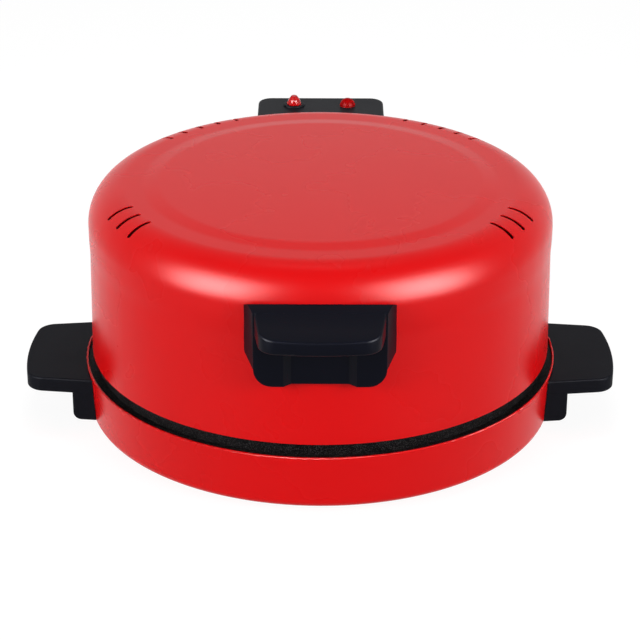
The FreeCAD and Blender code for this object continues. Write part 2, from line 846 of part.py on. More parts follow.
def element_path(ring_radius, reach, height):
    """Centre line of a ring with both ends bent to the rear, as lines and tangent arcs."""
    half = number(d.element_end_spacing) / 2
    bend = number(d.element_bend_radius)
    ring = number(ring_radius)
    level = number(height)
    centre_x = half + bend
    centre_y = math.sqrt((ring + bend) ** 2 - centre_x ** 2)
    shrink = ring / (ring + bend)
    touch = Vector(centre_x * shrink, centre_y * shrink, level)
    bend_turn = math.atan2(touch.y - centre_y, touch.x - centre_x) + 2 * math.pi
    bend_middle = (math.pi + bend_turn) / 2
    middle = Vector(centre_x + bend * math.cos(bend_middle), centre_y + bend * math.sin(bend_middle), level)
    line_end = Vector(half, centre_y, level)
    tip = Vector(half, number(reach), level)

    def mirrored(spot):
        return Vector(-spot.x, spot.y, spot.z)

    front = Vector(0, -ring, level)
    edges = [
        Part.LineSegment(tip, line_end).toShape(),
        Part.Arc(line_end, middle, touch).toShape(),
        Part.Arc(touch, front, mirrored(touch)).toShape(),
        Part.Arc(mirrored(touch), mirrored(middle), mirrored(line_end)).toShape(),
        Part.LineSegment(mirrored(line_end), mirrored(tip)).toShape(),
    ]
    return Part.Wire(edges)


def swept_tube(path, radius):
    """A round tube along a wire of lines and tangent arcs."""
    start = path.OrderedEdges[0]
    spot = start.valueAt(start.FirstParameter)
    heading = start.tangentAt(start.FirstParameter)
    circle = Part.Wire(Part.Circle(spot, heading, number(radius)).toShape())
    return path.makePipeShell([circle], True, False)


def element_terminals(name, reach, height, clear):
    """A ceramic bead and a pin on each end of an element."""
    pieces = []
    for side in SIDES:
        x = side * d.element_end_spacing / 2
        label = name + ("_left" if side < 0 else "_right")
        bead_blank = cylinder(label + "_bead", d.terminal_ceramic_radius, d.terminal_ceramic_length, x,
                              reach + clear, height, ALONG_Y)
        pin_length = d.terminal_ceramic_length + d.terminal_pin_length
        pin = cylinder(label + "_pin", d.terminal_pin_radius, pin_length, x, reach + clear, height, ALONG_Y)
        pieces.append(fuse(label, [bead_blank, pin]))
    return gather(name, pieces)


lower_element_height = plate_under - d.element_seat_gap - d.element_tube_radius
lower_element_reach = reflector_radius - d.lower_element_inset
lower_path = element_path(d.lower_ring_radius, lower_element_reach, lower_element_height)
lower_element = solid_feature("lower_element", swept_tube(lower_path, d.element_tube_radius))
lower_element_terminals = element_terminals("lower_element_terminals", lower_element_reach, lower_element_height, 0)


# Straps that hold the lower element up against the plate, and their screws

straps = []
strap_screws = []
strap_half = d.strap_screw_offset + d.boss_radius + d.strap_margin
strap_hole_height = d.strap_thickness + d.cut_spare * 2
strap_screw_length = d.strap_thickness + (plate_under - strap_top) - d.screw_bore_spare
for index, angle in enumerate(THIRDS):
    length_range = (d.lower_ring_radius - strap_half, d.lower_ring_radius + strap_half)
    width_range = (-d.strap_width / 2, d.strap_width / 2)
    blank = box("strap_blank_%d" % index, length_range, width_range, (strap_low, strap_top))
    holes = []
    for side in SIDES:
        x = d.lower_ring_radius + side * d.strap_screw_offset
        label = "strap_hole_%d_%s" % (index, "in" if side < 0 else "out")
        holes.append(cylinder(label, bore_radius, strap_hole_height, x, 0, strap_low - d.cut_spare))
        x, y = ring_point(d.lower_ring_radius + side * d.strap_screw_offset, angle)
        label = "strap_screw_%d_%d" % (index, side + 1)
        strap_screws.append(upright_screw(label, strap_screw_length, x, y, strap_low))
    straps.append(turned_copy("strap_%d" % index, cut("strap_cut_%d" % index, blank, holes), angle))
lower_element_straps = gather("lower_element_straps", straps)
lower_element_screws = gather("lower_element_screws", strap_screws)


# Thermostat pressed against the plate by its bracket

thermostat_cap = cylinder("thermostat_cap", d.thermostat_cap_radius, d.thermostat_cap_height, d.thermostat_offset, 0,
                          thermostat_seat)
thermostat_base = cylinder("thermostat_base", d.thermostat_body_radius, d.thermostat_body_height, d.thermostat_offset,
                           0, thermostat_seat - d.thermostat_body_height)
tab_top = thermostat_seat - d.thermostat_body_height
tabs = []
for side in SIDES:
    y = side * d.thermostat_body_radius / 2
    x_range = (d.thermostat_offset - d.thermostat_tab_width / 2, d.thermostat_offset + d.thermostat_tab_width / 2)
    y_range = (y - d.thermostat_tab_thickness / 2, y + d.thermostat_tab_thickness / 2)
    tabs.append(box("thermostat_tab_%d" % (side + 1), x_range, y_range,
                    (tab_top - d.thermostat_tab_length, thermostat_seat)))
thermostat = fuse("thermostat", [thermostat_cap, thermostat_base] + tabs)

bracket_low = bracket_top - d.strap_thickness
bracket_half = d.thermostat_cap_radius + d.strap_margin
bracket_outer = small_boss_x + d.boss_radius + d.strap_margin
bracket_blank = box("bracket_blank", (d.thermostat_offset - bracket_half, bracket_outer),
                    (-bracket_half, bracket_half), (bracket_low, bracket_top))
bracket_holes = [
    cylinder("bracket_hole", d.thermostat_body_radius + d.element_seat_gap, strap_hole_height, d.thermostat_offset, 0,
             bracket_low - d.cut_spare),
    cylinder("bracket_screw_hole", bore_radius, strap_hole_height, small_boss_x, 0, bracket_low - d.cut_spare),
]
thermostat_bracket = cut("thermostat_bracket", bracket_blank, bracket_holes)

fuse_height = plate_under - d.seat_gap - d.fuse_radius
thermal_fuse = cylinder("thermal_fuse", d.fuse_radius, d.fuse_length, -d.thermostat_offset, -d.fuse_length / 2,
                        fuse_height, ALONG_Y)
clip_low = fuse_strap_top - d.strap_thickness
clip_blank = box("clip_blank", (-bracket_outer, d.fuse_radius - d.thermostat_offset),
                 (-d.strap_width / 2, d.strap_width / 2), (clip_low, fuse_strap_top))
clip_hole = cylinder("clip_screw_hole", bore_radius, strap_hole_height, -small_boss_x, 0, clip_low - d.cut_spare)
thermal_fuse_clip = cut("thermal_fuse_clip", clip_blank, [clip_hole])
plate_small_screws = gather("plate_small_screws", [
    upright_screw("bracket_screw", screw_room - bracket_low - d.screw_bore_spare, small_boss_x, 0, bracket_low),
    upright_screw("clip_screw", screw_room - clip_low - d.screw_bore_spare, -small_boss_x, 0, clip_low),
])


# Side handles: a flat grip whose tip follows the lid's circle, with a leg that stands against the base wall

handle_top = d.rim_height - d.handle_drop
grip_low = handle_top - d.handle_grip_thickness
handle_tip = d.base_high_radius + d.handle_reach
handle_root = d.base_high_radius - d.handle_root_depth
handle_leg_outer = d.base_high_radius + d.handle_leg_thickness
tip_corner = root(handle_tip * handle_tip - d.handle_tip_half * d.handle_tip_half)
grip_plan = padded_body("grip_plan", "XY_Plane", [
    (handle_root, -d.handle_root_half),
    (tip_corner, -d.handle_tip_half),
    (tip_corner, d.handle_tip_half, handle_tip, 1),
    (handle_root, d.handle_root_half),
], grip_low, d.handle_grip_thickness)
round_edges(grip_plan, "grip_corners", d.handle_corner,
            either(upright_at(tip_corner, -d.handle_tip_half), upright_at(tip_corner, d.handle_tip_half)))
past_root = handle_root + d.cut_spare
round_edges(grip_plan, "grip_soft_edges", d.handle_edge_round,
            either(level_at(handle_top, TO_RIGHT, past_root), level_at(grip_low, TO_RIGHT, past_root)))
grip_taper = (d.handle_root_half - d.handle_tip_half) / (tip_corner - handle_root)
leg_root_half = d.handle_root_half - d.handle_leg_inset
leg_outer_half = leg_root_half - grip_taper * (handle_leg_outer - handle_root)
leg_top = handle_top - d.handle_edge_round * 2
leg_plan = padded_body("leg_plan", "XY_Plane", [
    (handle_root, -leg_root_half),
    (handle_leg_outer, -leg_outer_half),
    (handle_leg_outer, leg_outer_half),
    (handle_root, leg_root_half),
], d.handle_leg_bottom, leg_top - d.handle_leg_bottom)
round_edges(leg_plan, "leg_foot", d.handle_leg_round,
            level_at(d.handle_leg_bottom, TO_RIGHT, handle_leg_outer - d.fit_gap))
handle_solid = fuse("handle_solid", [grip_plan, leg_plan])
handle_wall = cone("handle_wall", wall_radius_at(0) + d.wall_gap, wall_radius_at(d.rim_height) + d.wall_gap,
                   d.rim_height, 0, 0, 0)
handle_bores = []
leg_bore_end = d.base_high_radius + d.handle_screw_depth
for side in SIDES:
    angle = side * number(d.handle_screw_angle)
    handle_bores.append(radial_cylinder("handle_bore_%d" % (side + 1), bore_radius, through_inner,
                                        leg_bore_end, angle, d.handle_screw_height))
handle_fitted = cut("handle_fitted", handle_solid, [handle_wall])
side_handle_right = cut("side_handle_right", handle_fitted, handle_bores)
side_handle_left = turned_copy("side_handle_left", side_handle_right, 180)
handle_head_seat = wall_radius_at(d.handle_screw_height) - d.base_wall - d.wall_gap
handle_screw_length = leg_bore_end - handle_head_seat - d.screw_bore_spare
side_handle_screws = gather("side_handle_screws", [
    radial_screw("side_handle_screw_%d" % index, handle_screw_length, handle_head_seat, angle, d.handle_screw_height)
    for index, angle in enumerate(handle_screw_angles)
])


# Lid shell: a domed cover with a slightly waisted wall, a round shoulder and a raised plateau

shoulder_in = lid_crest_radius - d.lid_shoulder_radius
plateau_foot_radius = lid_crest_radius - d.plateau_inset
plateau_crest_radius = plateau_foot_radius - d.plateau_slope_run
slot_outer_radius = lid_crest_radius - d.slot_outer_inset
slot_inner_radius = slot_outer_radius - d.slot_length


def lid_outline(inset):
    """Outer form of the lid from its edge to the centre, moved inwards by an amount."""
    return [
        (lid_edge_radius - inset, lid_edge_height),
        (lid_waist_radius - inset, lid_waist_height),
        (lid_crest_radius - inset, lid_crest_height),
        (lid_crest_radius - inset, lid_shoulder_start),
        (shoulder_in, band_top - inset, d.lid_shoulder_radius - inset, 1),
        (plateau_foot_radius, band_top - inset),
        (plateau_crest_radius, band_top + d.plateau_rise - inset),
        (0, band_top + d.plateau_rise - inset),
    ]


lid_turned = turned_body("lid_turned", lid_outline(0) + [
    (0, band_top + d.plateau_rise - d.lid_wall),
    (plateau_crest_radius, band_top + d.plateau_rise - d.lid_wall),
    (plateau_foot_radius, band_top - d.lid_wall),
    (shoulder_in, band_top - d.lid_wall),
    (lid_crest_radius - d.lid_wall, lid_shoulder_start, d.lid_shoulder_radius - d.lid_wall, -1),
    (lid_crest_radius - d.lid_wall, lid_crest_height),
    (lid_waist_radius - d.lid_wall, lid_waist_height),
    (lid_edge_radius - d.lid_wall, lid_edge_height),
])
lid_envelope = turned_body("lid_envelope", lid_outline(-d.wall_gap) + [(0, lid_edge_height)])


def radial_slot(name, angle):
    """A cutter for one vent slot across the lid's shoulder."""
    item = doc.addObject("Part::Box", name)
    bind(item, "Length", slot_outer_radius - slot_inner_radius)
    bind(item, "Width", d.slot_width)
    bind(item, "Height", d.lid_shoulder_radius + d.plateau_rise)
    turn = Rotation(Vector(0, 0, 1), angle)
    corner = Vector(number(slot_inner_radius), -number(d.slot_width) / 2, number(lid_shoulder_start))
    item.Placement = Placement(turn.multVec(corner), turn)
    return item


slot_angles = []
for step in range(FRONT_SLOTS):
    angle = number(d.front_slot_first) + step * number(d.slot_pitch)
    slot_angles += [-angle, 180 + angle]
for step in range(REAR_SLOTS):
    angle = number(d.rear_slot_first) + step * number(d.slot_pitch)
    slot_angles += [angle, 180 - angle]
lid_cutters = [radial_slot("vent_slot_%d" % index, angle) for index, angle in enumerate(slot_angles)]

lid_handle_angles = [FRONT + side * number(d.lid_handle_screw_angle) for side in SIDES]
pillar_spots = []
for side in SIDES:
    for height in (d.pillar_low_height, d.pillar_high_height):
        pillar_spots.append((REAR + side * number(d.pillar_angle), height))
lid_inner = lid_waist_radius - d.lid_wall - d.liner_gap - d.liner_wall - d.cut_spare
lid_outer = lid_edge_radius + d.cut_spare
liner_top_radius = lid_waist_radius - d.liner_slope_run
liner_cone_top = band_top - d.liner_drop
upper_element_height = liner_cone_top - d.upper_element_drop
upper_element_reach = lid_waist_radius + d.upper_element_overhang
screw_spots = [(angle, d.lid_handle_screw_height) for angle in lid_handle_angles] + pillar_spots


def lid_screw_holes(name):
    """Cutters for the screws and element ends that pass through the lid or its liner."""
    holes = []
    for index, (angle, height) in enumerate(screw_spots):
        label = "%s_screw_hole_%d" % (name, index)
        holes.append(radial_cylinder(label, bore_radius, lid_inner, lid_outer, angle, height))
    for side in SIDES:
        label = "%s_element_hole_%d" % (name, side + 1)
        x = side * d.element_end_spacing / 2
        start = liner_top_radius
        hole_radius = d.element_tube_radius + d.seat_gap
        holes.append(cylinder(label, hole_radius, lid_outer - start, x, start, upper_element_height, ALONG_Y))
    return holes


lid_shell = cut("lid_shell", lid_turned, lid_cutters + lid_screw_holes("lid"))


# Lid liner: the bright inner skin that closes on the plate's rim

liner_low = plate_rim_top + d.liner_lip_gap
liner_lip_radius = plate_rim_radius - d.liner_lip_reach
liner_inset = d.lid_wall + d.liner_gap
upper_ring_radius = liner_top_radius - d.upper_ring_setback
taper = (lid_edge_radius - lid_waist_radius) / (lid_waist_height - lid_edge_height)
liner_low_radius = lid_edge_radius - taper * (liner_low - lid_edge_height) - liner_inset
liner_turned = turned_body("liner_turned", [
    (liner_lip_radius, liner_low),
    (liner_low_radius, liner_low),
    (lid_waist_radius - liner_inset, lid_waist_height),
    (liner_top_radius, liner_cone_top),
    (0, liner_cone_top),
    (0, liner_cone_top - d.liner_wall),
    (liner_top_radius - d.liner_wall / 2, liner_cone_top - d.liner_wall),
    (lid_waist_radius - liner_inset - d.liner_wall, lid_waist_height - d.liner_wall / 2),
    (liner_low_radius - d.liner_wall, liner_low + d.liner_wall),
    (liner_lip_radius, liner_low + d.liner_wall),
])
rivet_bore = d.rivet_radius + d.screw_clearance
tab_middle = d.hanger_thickness / 2 + d.hanger_tab / 2


def rivet_spot(angle):
    """Plan position of a hanger's rivet."""
    turn = Rotation(Vector(0, 0, 1), angle)
    spot = turn.multVec(Vector(number(upper_ring_radius), number(tab_middle), 0))
    return spot.x, spot.y


liner_cutters = lid_screw_holes("liner")
for index, angle in enumerate(THIRDS):
    x, y = rivet_spot(angle)
    liner_cutters.append(cylinder("liner_rivet_hole_%d" % index, rivet_bore, d.liner_wall * 3, x, y,
                                  liner_cone_top - d.liner_wall * 2))
lid_liner = cut("lid_liner", liner_turned, liner_cutters)


# Upper heating element, its hangers and their rivets

upper_path = element_path(upper_ring_radius, upper_element_reach, upper_element_height)
upper_element = solid_feature("upper_element", swept_tube(upper_path, d.element_tube_radius))
upper_element_terminals = element_terminals("upper_element_terminals", upper_element_reach,
                                            upper_element_height, 0)
liner_under = liner_cone_top - d.liner_wall
hanger_low = upper_element_height - d.element_tube_radius - d.hanger_thickness * 2
hangers = []
rivets = []
for index, angle in enumerate(THIRDS):
    half = d.hanger_width / 2
    x_range = (upper_ring_radius - half, upper_ring_radius + half)
    plate = box("hanger_plate_%d" % index, x_range, (-d.hanger_thickness / 2, d.hanger_thickness / 2),
                (hanger_low, liner_under))
    tab = box("hanger_tab_%d" % index, x_range, (-d.hanger_thickness / 2, d.hanger_thickness / 2 + d.hanger_tab),
              (liner_under - d.hanger_thickness, liner_under))
    blank = fuse("hanger_blank_%d" % index, [plate, tab])
    eye = cylinder("hanger_eye_%d" % index, d.element_tube_radius + d.element_seat_gap, d.hanger_thickness * 2,
                   upper_ring_radius, -d.hanger_thickness, upper_element_height, ALONG_Y)
    rivet_hole = cylinder("hanger_rivet_hole_%d" % index, rivet_bore, d.hanger_thickness * 3, upper_ring_radius,
                          tab_middle, liner_under - d.hanger_thickness * 2)
    hangers.append(turned_copy("hanger_%d" % index, cut("hanger_cut_%d" % index, blank, [eye, rivet_hole]), angle))
    x, y = rivet_spot(angle)
    rivet_low = liner_under - d.hanger_thickness
    stem = cylinder("rivet_stem_%d" % index, d.rivet_radius, liner_cone_top - rivet_low, x, y, rivet_low)
    low_head = cylinder("rivet_low_%d" % index, d.rivet_head_radius, d.rivet_head_height, x, y,
                        rivet_low - d.rivet_head_height)
    top_head = cylinder("rivet_top_%d" % index, d.rivet_head_radius, d.rivet_head_height, x, y, liner_cone_top)
    rivets.append(fuse("rivet_%d" % index, [stem, low_head, top_head]))
upper_element_hangers = gather("upper_element_hangers", hangers)
hanger_rivets = gather("hanger_rivets", rivets)


# Front lid handle: a backing block with a recessed panel and a sloping shelf grip

block_bottom = lid_edge_height + d.block_rise
block_top = block_bottom + d.block_height
block_front = lid_waist_radius + d.block_stand
block_taper_start = lid_waist_radius - d.block_taper_inset
block_back = block_taper_start - d.block_depth_spare
block_plan = padded_body("block_plan", "XY_Plane", [
    (-d.block_half, -block_back),
    (-d.block_half, -block_taper_start),
    (-d.block_front_half, -block_front),
    (d.block_front_half, -block_front),
    (d.block_half, -block_taper_start),
    (d.block_half, -block_back),
], block_bottom, d.block_height)
block_face = padded_body("block_face", "XZ_Plane", [
    (-d.block_half, block_top),
    (-d.block_half, block_bottom + d.block_side_rise),
    (-d.block_front_half, block_bottom + d.block_corner),
    (-d.block_front_half + d.block_corner, block_bottom, d.block_corner, 1),
    (d.block_front_half - d.block_corner, block_bottom),
    (d.block_front_half, block_bottom + d.block_corner, d.block_corner, 1),
    (d.block_half, block_bottom + d.block_side_rise),
    (d.block_half, block_top),
], -block_front - d.cut_spare, block_front + d.cut_spare - block_back)
block_solid = common("block_solid", block_plan, block_face)

# The shelf: its front follows the lid's circle, its top slopes down to the front and its edges are rounded
shelf_front = lid_waist_radius + d.shelf_stand
shelf_underside = block_top - d.shelf_underside_drop
shelf_front_top = block_top - d.shelf_front_drop
slope = d.shelf_front_drop / (shelf_front - lid_waist_radius + d.shelf_slope_inset)
shelf_back_top = shelf_front_top + slope * (shelf_front - block_back)
shelf_corner_y = root(shelf_front * shelf_front - d.shelf_front_half * d.shelf_front_half)
shelf_plan = padded_body("shelf_plan", "XY_Plane", [
    (-d.shelf_root_half, -block_back),
    (-d.shelf_front_half, -shelf_corner_y),
    (d.shelf_front_half, -shelf_corner_y, shelf_front, 1),
    (d.shelf_root_half, -block_back),
], shelf_underside, shelf_back_top + d.shelf_underside_drop - shelf_underside)
round_edges(shelf_plan, "shelf_corners", d.shelf_corner,
            either(upright_at(-d.shelf_front_half, -shelf_corner_y), upright_at(d.shelf_front_half, -shelf_corner_y)))
slope_sketch = outline(shelf_plan, "YZ_Plane", "slope_outline", [
    (-block_back + d.cut_spare, shelf_back_top + slope * d.cut_spare),
    (-block_back + d.cut_spare, shelf_back_top + d.block_height),
    (-shelf_front - d.cut_spare, shelf_back_top + d.block_height),
    (-shelf_front - d.cut_spare, shelf_front_top - slope * d.cut_spare),
])
slope_cut = shelf_plan.newObject("PartDesign::Pocket", "slope_cut")
slope_cut.Profile = slope_sketch
slope_cut.Type = "ThroughAll"
slope_cut.Midplane = True
shelf_plan.Tip = slope_cut


def shelf_rim(edge):
    """Test for the shelf's top and bottom edges in front of the block's back."""
    bounds = edge.BoundBox
    if bounds.YMax > 0.01 - number(block_back) and bounds.XLength > number(d.shelf_front_half):
        return False
    return bounds.YLength > 0.01 or bounds.XLength > number(d.shelf_front_half)


round_edges(shelf_plan, "shelf_soft_edges", d.shelf_edge_round, shelf_rim)
shelf_limit = box("shelf_limit", (-d.shelf_root_half - d.cut_spare, d.shelf_root_half + d.cut_spare),
                  (-shelf_front - d.cut_spare, -block_back), (shelf_underside - d.cut_spare, block_top))
handle_form = fuse("lid_handle_form", [block_solid, common("shelf_solid", shelf_plan, shelf_limit)])
# The block's top lies flush with the shelf as far as the lid, and leans back from there to tuck under the shoulder
lean_start = lid_waist_radius + d.wall_gap * 4
lean_start_top = shelf_front_top + slope * (shelf_front - lean_start) + d.fit_gap
lean_end = block_back - d.cut_spare
handle_top_cut = padded_body("handle_top_cut", "YZ_Plane", [
    (-lean_end, lean_start_top - d.block_back_lean * (lean_start - lean_end)),
    (-lean_end, block_top + d.cut_spare),
    (-block_front - d.cut_spare, block_top + d.cut_spare),
    (-block_front - d.cut_spare, lean_start_top - slope * (block_front + d.cut_spare - lean_start)),
    (-lean_start, lean_start_top),
], -d.block_half - d.cut_spare, (d.block_half + d.cut_spare) * 2)

# The recess in the block's front has leaning side walls
panel_lean = (d.panel_half - d.panel_floor_half) / d.panel_depth
panel_mouth = d.panel_half + panel_lean * d.cut_spare
panel = padded_body("panel_recess", "XY_Plane", [
    (-panel_mouth, -block_front - d.cut_spare),
    (panel_mouth, -block_front - d.cut_spare),
    (d.panel_floor_half, -block_front + d.panel_depth),
    (-d.panel_floor_half, -block_front + d.panel_depth),
], block_bottom - d.cut_spare, shelf_underside - block_bottom + d.cut_spare)
lid_handle_cutters = [lid_envelope, panel, handle_top_cut]
lid_handle_bore_end = lid_waist_radius + d.lid_handle_screw_depth
for index, angle in enumerate(lid_handle_angles):
    lid_handle_cutters.append(radial_cylinder("lid_handle_bore_%d" % index, bore_radius, lid_inner,
                                              lid_handle_bore_end, angle, d.lid_handle_screw_height))
lid_handle = cut("lid_handle", handle_form, lid_handle_cutters)


def liner_inside_at(height):
    """Inner radius of the liner's wall at a height."""
    return lid_edge_radius - taper * (height - lid_edge_height) - liner_inset - d.liner_wall


lid_handle_seat = liner_inside_at(d.lid_handle_screw_height) - d.wall_gap
lid_handle_screws = gather("lid_handle_screws", [
    radial_screw("lid_handle_screw_%d" % index, lid_handle_bore_end - lid_handle_seat - d.screw_bore_spare,
                 lid_handle_seat, angle, d.lid_handle_screw_height)
    for index, angle in enumerate(lid_handle_angles)
])


# Upper hinge housing: a box behind the lid whose lower rear edge is the hollow hinge barrel

housing_front = liner_top_radius
upper_top = band_top - d.upper_top_drop
upper_bottom = hinge_height + d.upper_bottom_rise
lamp_back = rear_reach - d.lamp_inset
upper_block = padded_body("upper_block", "XY_Plane", [
    (-d.upper_half, housing_front),
    (d.upper_half, housing_front),
    (d.upper_half, rear_reach),
    (-d.upper_half, rear_reach),
], upper_bottom, upper_top - upper_bottom)
round_edges(upper_block, "upper_corners", d.upper_corner,
            either(upright_at(d.upper_half, rear_reach), upright_at(-d.upper_half, rear_reach)))
round_edges(upper_block, "upper_top_edges", d.upper_edge_round,
            level_at(upper_top, TO_BACK, housing_front + d.cut_spare))
barrel_length = d.barrel_half * 2
barrel = cylinder("barrel", d.barrel_radius, barrel_length, -d.barrel_half, hinge_back, hinge_height, ALONG_X)
barrel_web = box("barrel_web", (-d.barrel_half, d.barrel_half), (hinge_back - d.barrel_radius, rear_reach),
                 (hinge_height, upper_bottom + d.housing_wall / 2))
upper_outer = fuse("upper_outer", [upper_block, barrel, barrel_web])
inner_half = d.upper_half - d.housing_wall
upper_cavity = box("upper_cavity", (-inner_half, inner_half), (housing_front, rear_reach - d.housing_wall),
                   (upper_bottom + d.housing_wall, upper_top - d.housing_wall))
bore_half = d.barrel_half - d.barrel_end_wall
barrel_hollow = cylinder("barrel_hollow", d.barrel_bore, bore_half * 2, -bore_half, hinge_back, hinge_height,
                         ALONG_X)
wire_slot = box("wire_slot", (-d.wire_slot_half, d.wire_slot_half),
                (hinge_back - d.barrel_bore + d.wire_slot_inset, hinge_back + d.barrel_bore - d.wire_slot_inset),
                (hinge_height, upper_bottom + d.housing_wall * 2))
upper_hollow = cut("upper_hollow", upper_outer, [upper_cavity, barrel_hollow, wire_slot])
pillars = []
pillar_bores = []
pillar_bore_end = lid_edge_radius + d.pillar_screw_depth
for index, (angle, height) in enumerate(pillar_spots):
    pillars.append(radial_cylinder("pillar_%d" % index, d.pillar_radius, lid_waist_radius - d.pillar_radius,
                                   rear_reach + d.pillar_radius, angle, height))
    pillar_bores.append(radial_cylinder("pillar_bore_%d" % index, bore_radius, lid_inner, pillar_bore_end, angle,
                                        height))
pillars_inside = common("pillars_inside", gather("pillars", pillars), upper_block)
end_wall_cut = d.barrel_end_wall + d.cut_spare * 2
pin_bore = d.pin_radius + d.pin_running_gap
hollow_pin_hole = d.hollow_pin_radius + d.pin_running_gap
upper_bores = [
    cylinder("left_barrel_bore", pin_bore, end_wall_cut, -d.barrel_half - d.cut_spare, hinge_back, hinge_height,
             ALONG_X),
    cylinder("right_barrel_bore", hollow_pin_hole, end_wall_cut, bore_half - d.cut_spare, hinge_back, hinge_height,
             ALONG_X),
]
lamp_hole = d.lamp_body_radius + d.fit_gap
for side in SIDES:
    upper_bores.append(cylinder("lamp_hole_%d" % (side + 1), lamp_hole, d.housing_wall * 3,
                                side * d.lamp_spacing / 2, lamp_back, upper_top - d.housing_wall * 2))
upper_solid = fuse("upper_solid", [upper_hollow, pillars_inside])
upper_hinge_housing = cut("upper_hinge_housing", upper_solid, [lid_envelope] + pillar_bores + upper_bores)
upper_housing_screws = gather("upper_housing_screws", [
    radial_screw("upper_housing_screw_%d" % index,
                 pillar_bore_end - liner_inside_at(height) + d.wall_gap - d.screw_bore_spare,
                 liner_inside_at(height) - d.wall_gap, angle, height)
    for index, (angle, height) in enumerate(pillar_spots)
])


# Pilot lamps on top of the housing

def lamp_body(name, side):
    x = side * d.lamp_spacing / 2
    return cylinder(name, d.lamp_body_radius, d.lamp_body_depth, x, lamp_back, upper_top - d.lamp_body_depth)


heating_lamp_body = lamp_body("heating_lamp_body", -1)
ready_lamp_body = lamp_body("ready_lamp_body", 1)
heating_x = -d.lamp_spacing / 2
bezel_blank = cylinder("bezel_blank", d.lamp_bezel_radius, d.lamp_flange_height, heating_x, lamp_back, upper_top)
bezel_hole = cylinder("bezel_hole", d.lens_radius + d.fit_gap, d.lamp_flange_height * 2, heating_x, lamp_back,
                      upper_top - d.lamp_flange_height / 2)
heating_lamp_bezel = cut("heating_lamp_bezel", bezel_blank, [bezel_hole])


def facet_ring(radius, height):
    """A regular polygon about the heating lamp's axis."""
    corners = []
    for step in range(LENS_FACETS + 1):
        turn = 2 * math.pi * step / LENS_FACETS
        x = number(heating_x) + number(radius) * math.cos(turn)
        y = number(lamp_back) + number(radius) * math.sin(turn)
        corners.append(Vector(x, y, number(height)))
    return Part.makePolygon(corners)


lens_collar = cylinder("lens_collar", d.lens_radius, d.lamp_flange_height + d.lens_collar_height, heating_x,
                       lamp_back, upper_top)
facet_low = upper_top + d.lamp_flange_height
facet_rings = [
    facet_ring(d.lens_radius - d.fit_gap, facet_low),
    facet_ring(d.lens_tip_radius, upper_top + d.lens_height),
]
lens_cone = solid_feature("lens_cone", Part.makeLoft(facet_rings, True, True))
heating_lamp_lens = fuse("heating_lamp_lens", [lens_collar, lens_cone])
dome_curve = (d.dome_radius * d.dome_radius + d.dome_height * d.dome_height) / (d.dome_height * 2)
ready_lamp_lens = turned_body("ready_lamp_lens", [
    (0, 0),
    (d.dome_radius, 0),
    (0, d.dome_height, dome_curve, 1),
])
place(ready_lamp_lens, d.lamp_spacing / 2, lamp_back, upper_top)


# Lower hinge housing: a shallow box behind the base wall with two ears that hold the hinge pins

def curved_box(name, half, back, low, top, clear_radius):
    """A box behind the base, cut back to a circle about the axis."""
    blank = box(name + "_box", (-half, half), (housing_front, back), (low, top))
    disc = cylinder(name + "_disc", clear_radius, top - low + d.cut_spare * 2, 0, 0, low - d.cut_spare)
    return cut(name, blank, [disc])


lower_top = hinge_height - d.lower_top_drop
lower_block = padded_body("lower_block", "XY_Plane", [
    (-d.lower_half, housing_front),
    (d.lower_half, housing_front),
    (d.lower_half, lower_back),
    (-d.lower_half, lower_back),
], d.lower_bottom, lower_top - d.lower_bottom)
round_edges(lower_block, "lower_corners", d.lower_corner,
            either(upright_at(d.lower_half, lower_back), upright_at(-d.lower_half, lower_back)))
ear_parts = []
for side in SIDES:
    inner = d.barrel_half + d.ear_gap
    start = inner if side > 0 else -(inner + d.ear_width)
    label = "left" if side < 0 else "right"
    ear_parts.append(cylinder("ear_round_" + label, d.ear_radius, d.ear_width, start, hinge_back, hinge_height,
                              ALONG_X))
    ear_parts.append(box("ear_neck_" + label, (start, start + d.ear_width),
                         (hinge_back - d.ear_radius, lower_back), (lower_top - d.housing_wall, hinge_height)))
lower_outer = fuse("lower_outer", [lower_block] + ear_parts)
lower_inner_half = d.lower_half - d.housing_wall
cavity_front = d.base_high_radius + d.wall_gap + d.lower_front_wall
lower_cavity = curved_box("lower_cavity", lower_inner_half, lower_back - d.housing_wall,
                          d.lower_bottom - d.cut_spare, lower_top - d.housing_wall, cavity_front)
lower_hollow = cut("lower_hollow", lower_outer, [lower_cavity])
lid_of_cavity = lower_top - d.housing_wall
cover_top = d.lower_bottom + d.housing_wall
inside_parts = [lower_hollow]
lower_bores = [handle_wall]
lower_pillar_reach = d.base_high_radius + d.lower_pillar_length
lower_pillar_end = lower_pillar_reach - d.lower_pillar_tip
for index, angle in enumerate(lower_pillar_angles):
    inside_parts.append(radial_cylinder("lower_pillar_%d" % index, d.pillar_radius, base_low_radius,
                                        lower_pillar_reach, angle, d.lower_pillar_height))
    lower_bores.append(radial_cylinder("lower_pillar_bore_%d" % index, bore_radius, through_inner, lower_pillar_end,
                                       angle, d.lower_pillar_height))
cover_boss_low = cover_top + d.fit_gap
cover_bore_top = lid_of_cavity - d.screw_bore_roof
cover_boss_x = lower_inner_half - d.cover_boss_side
cover_boss_y = lower_back - d.cover_boss_depth
cover_boss_length = lid_of_cavity + d.housing_wall / 2 - cover_boss_low
for side in SIDES:
    x = side * cover_boss_x
    inside_parts.append(cylinder("cover_boss_%d" % (side + 1), d.cover_boss_radius, cover_boss_length, x, cover_boss_y,
                                 cover_boss_low))
    lower_bores.append(cylinder("cover_boss_bore_%d" % (side + 1), bore_radius,
                                cover_bore_top - cover_boss_low + d.cut_spare, x, cover_boss_y,
                                cover_boss_low - d.cut_spare))
lower_solid = fuse("lower_solid", inside_parts)
ear_inner = d.barrel_half + d.ear_gap
ear_outer = ear_inner + d.ear_width
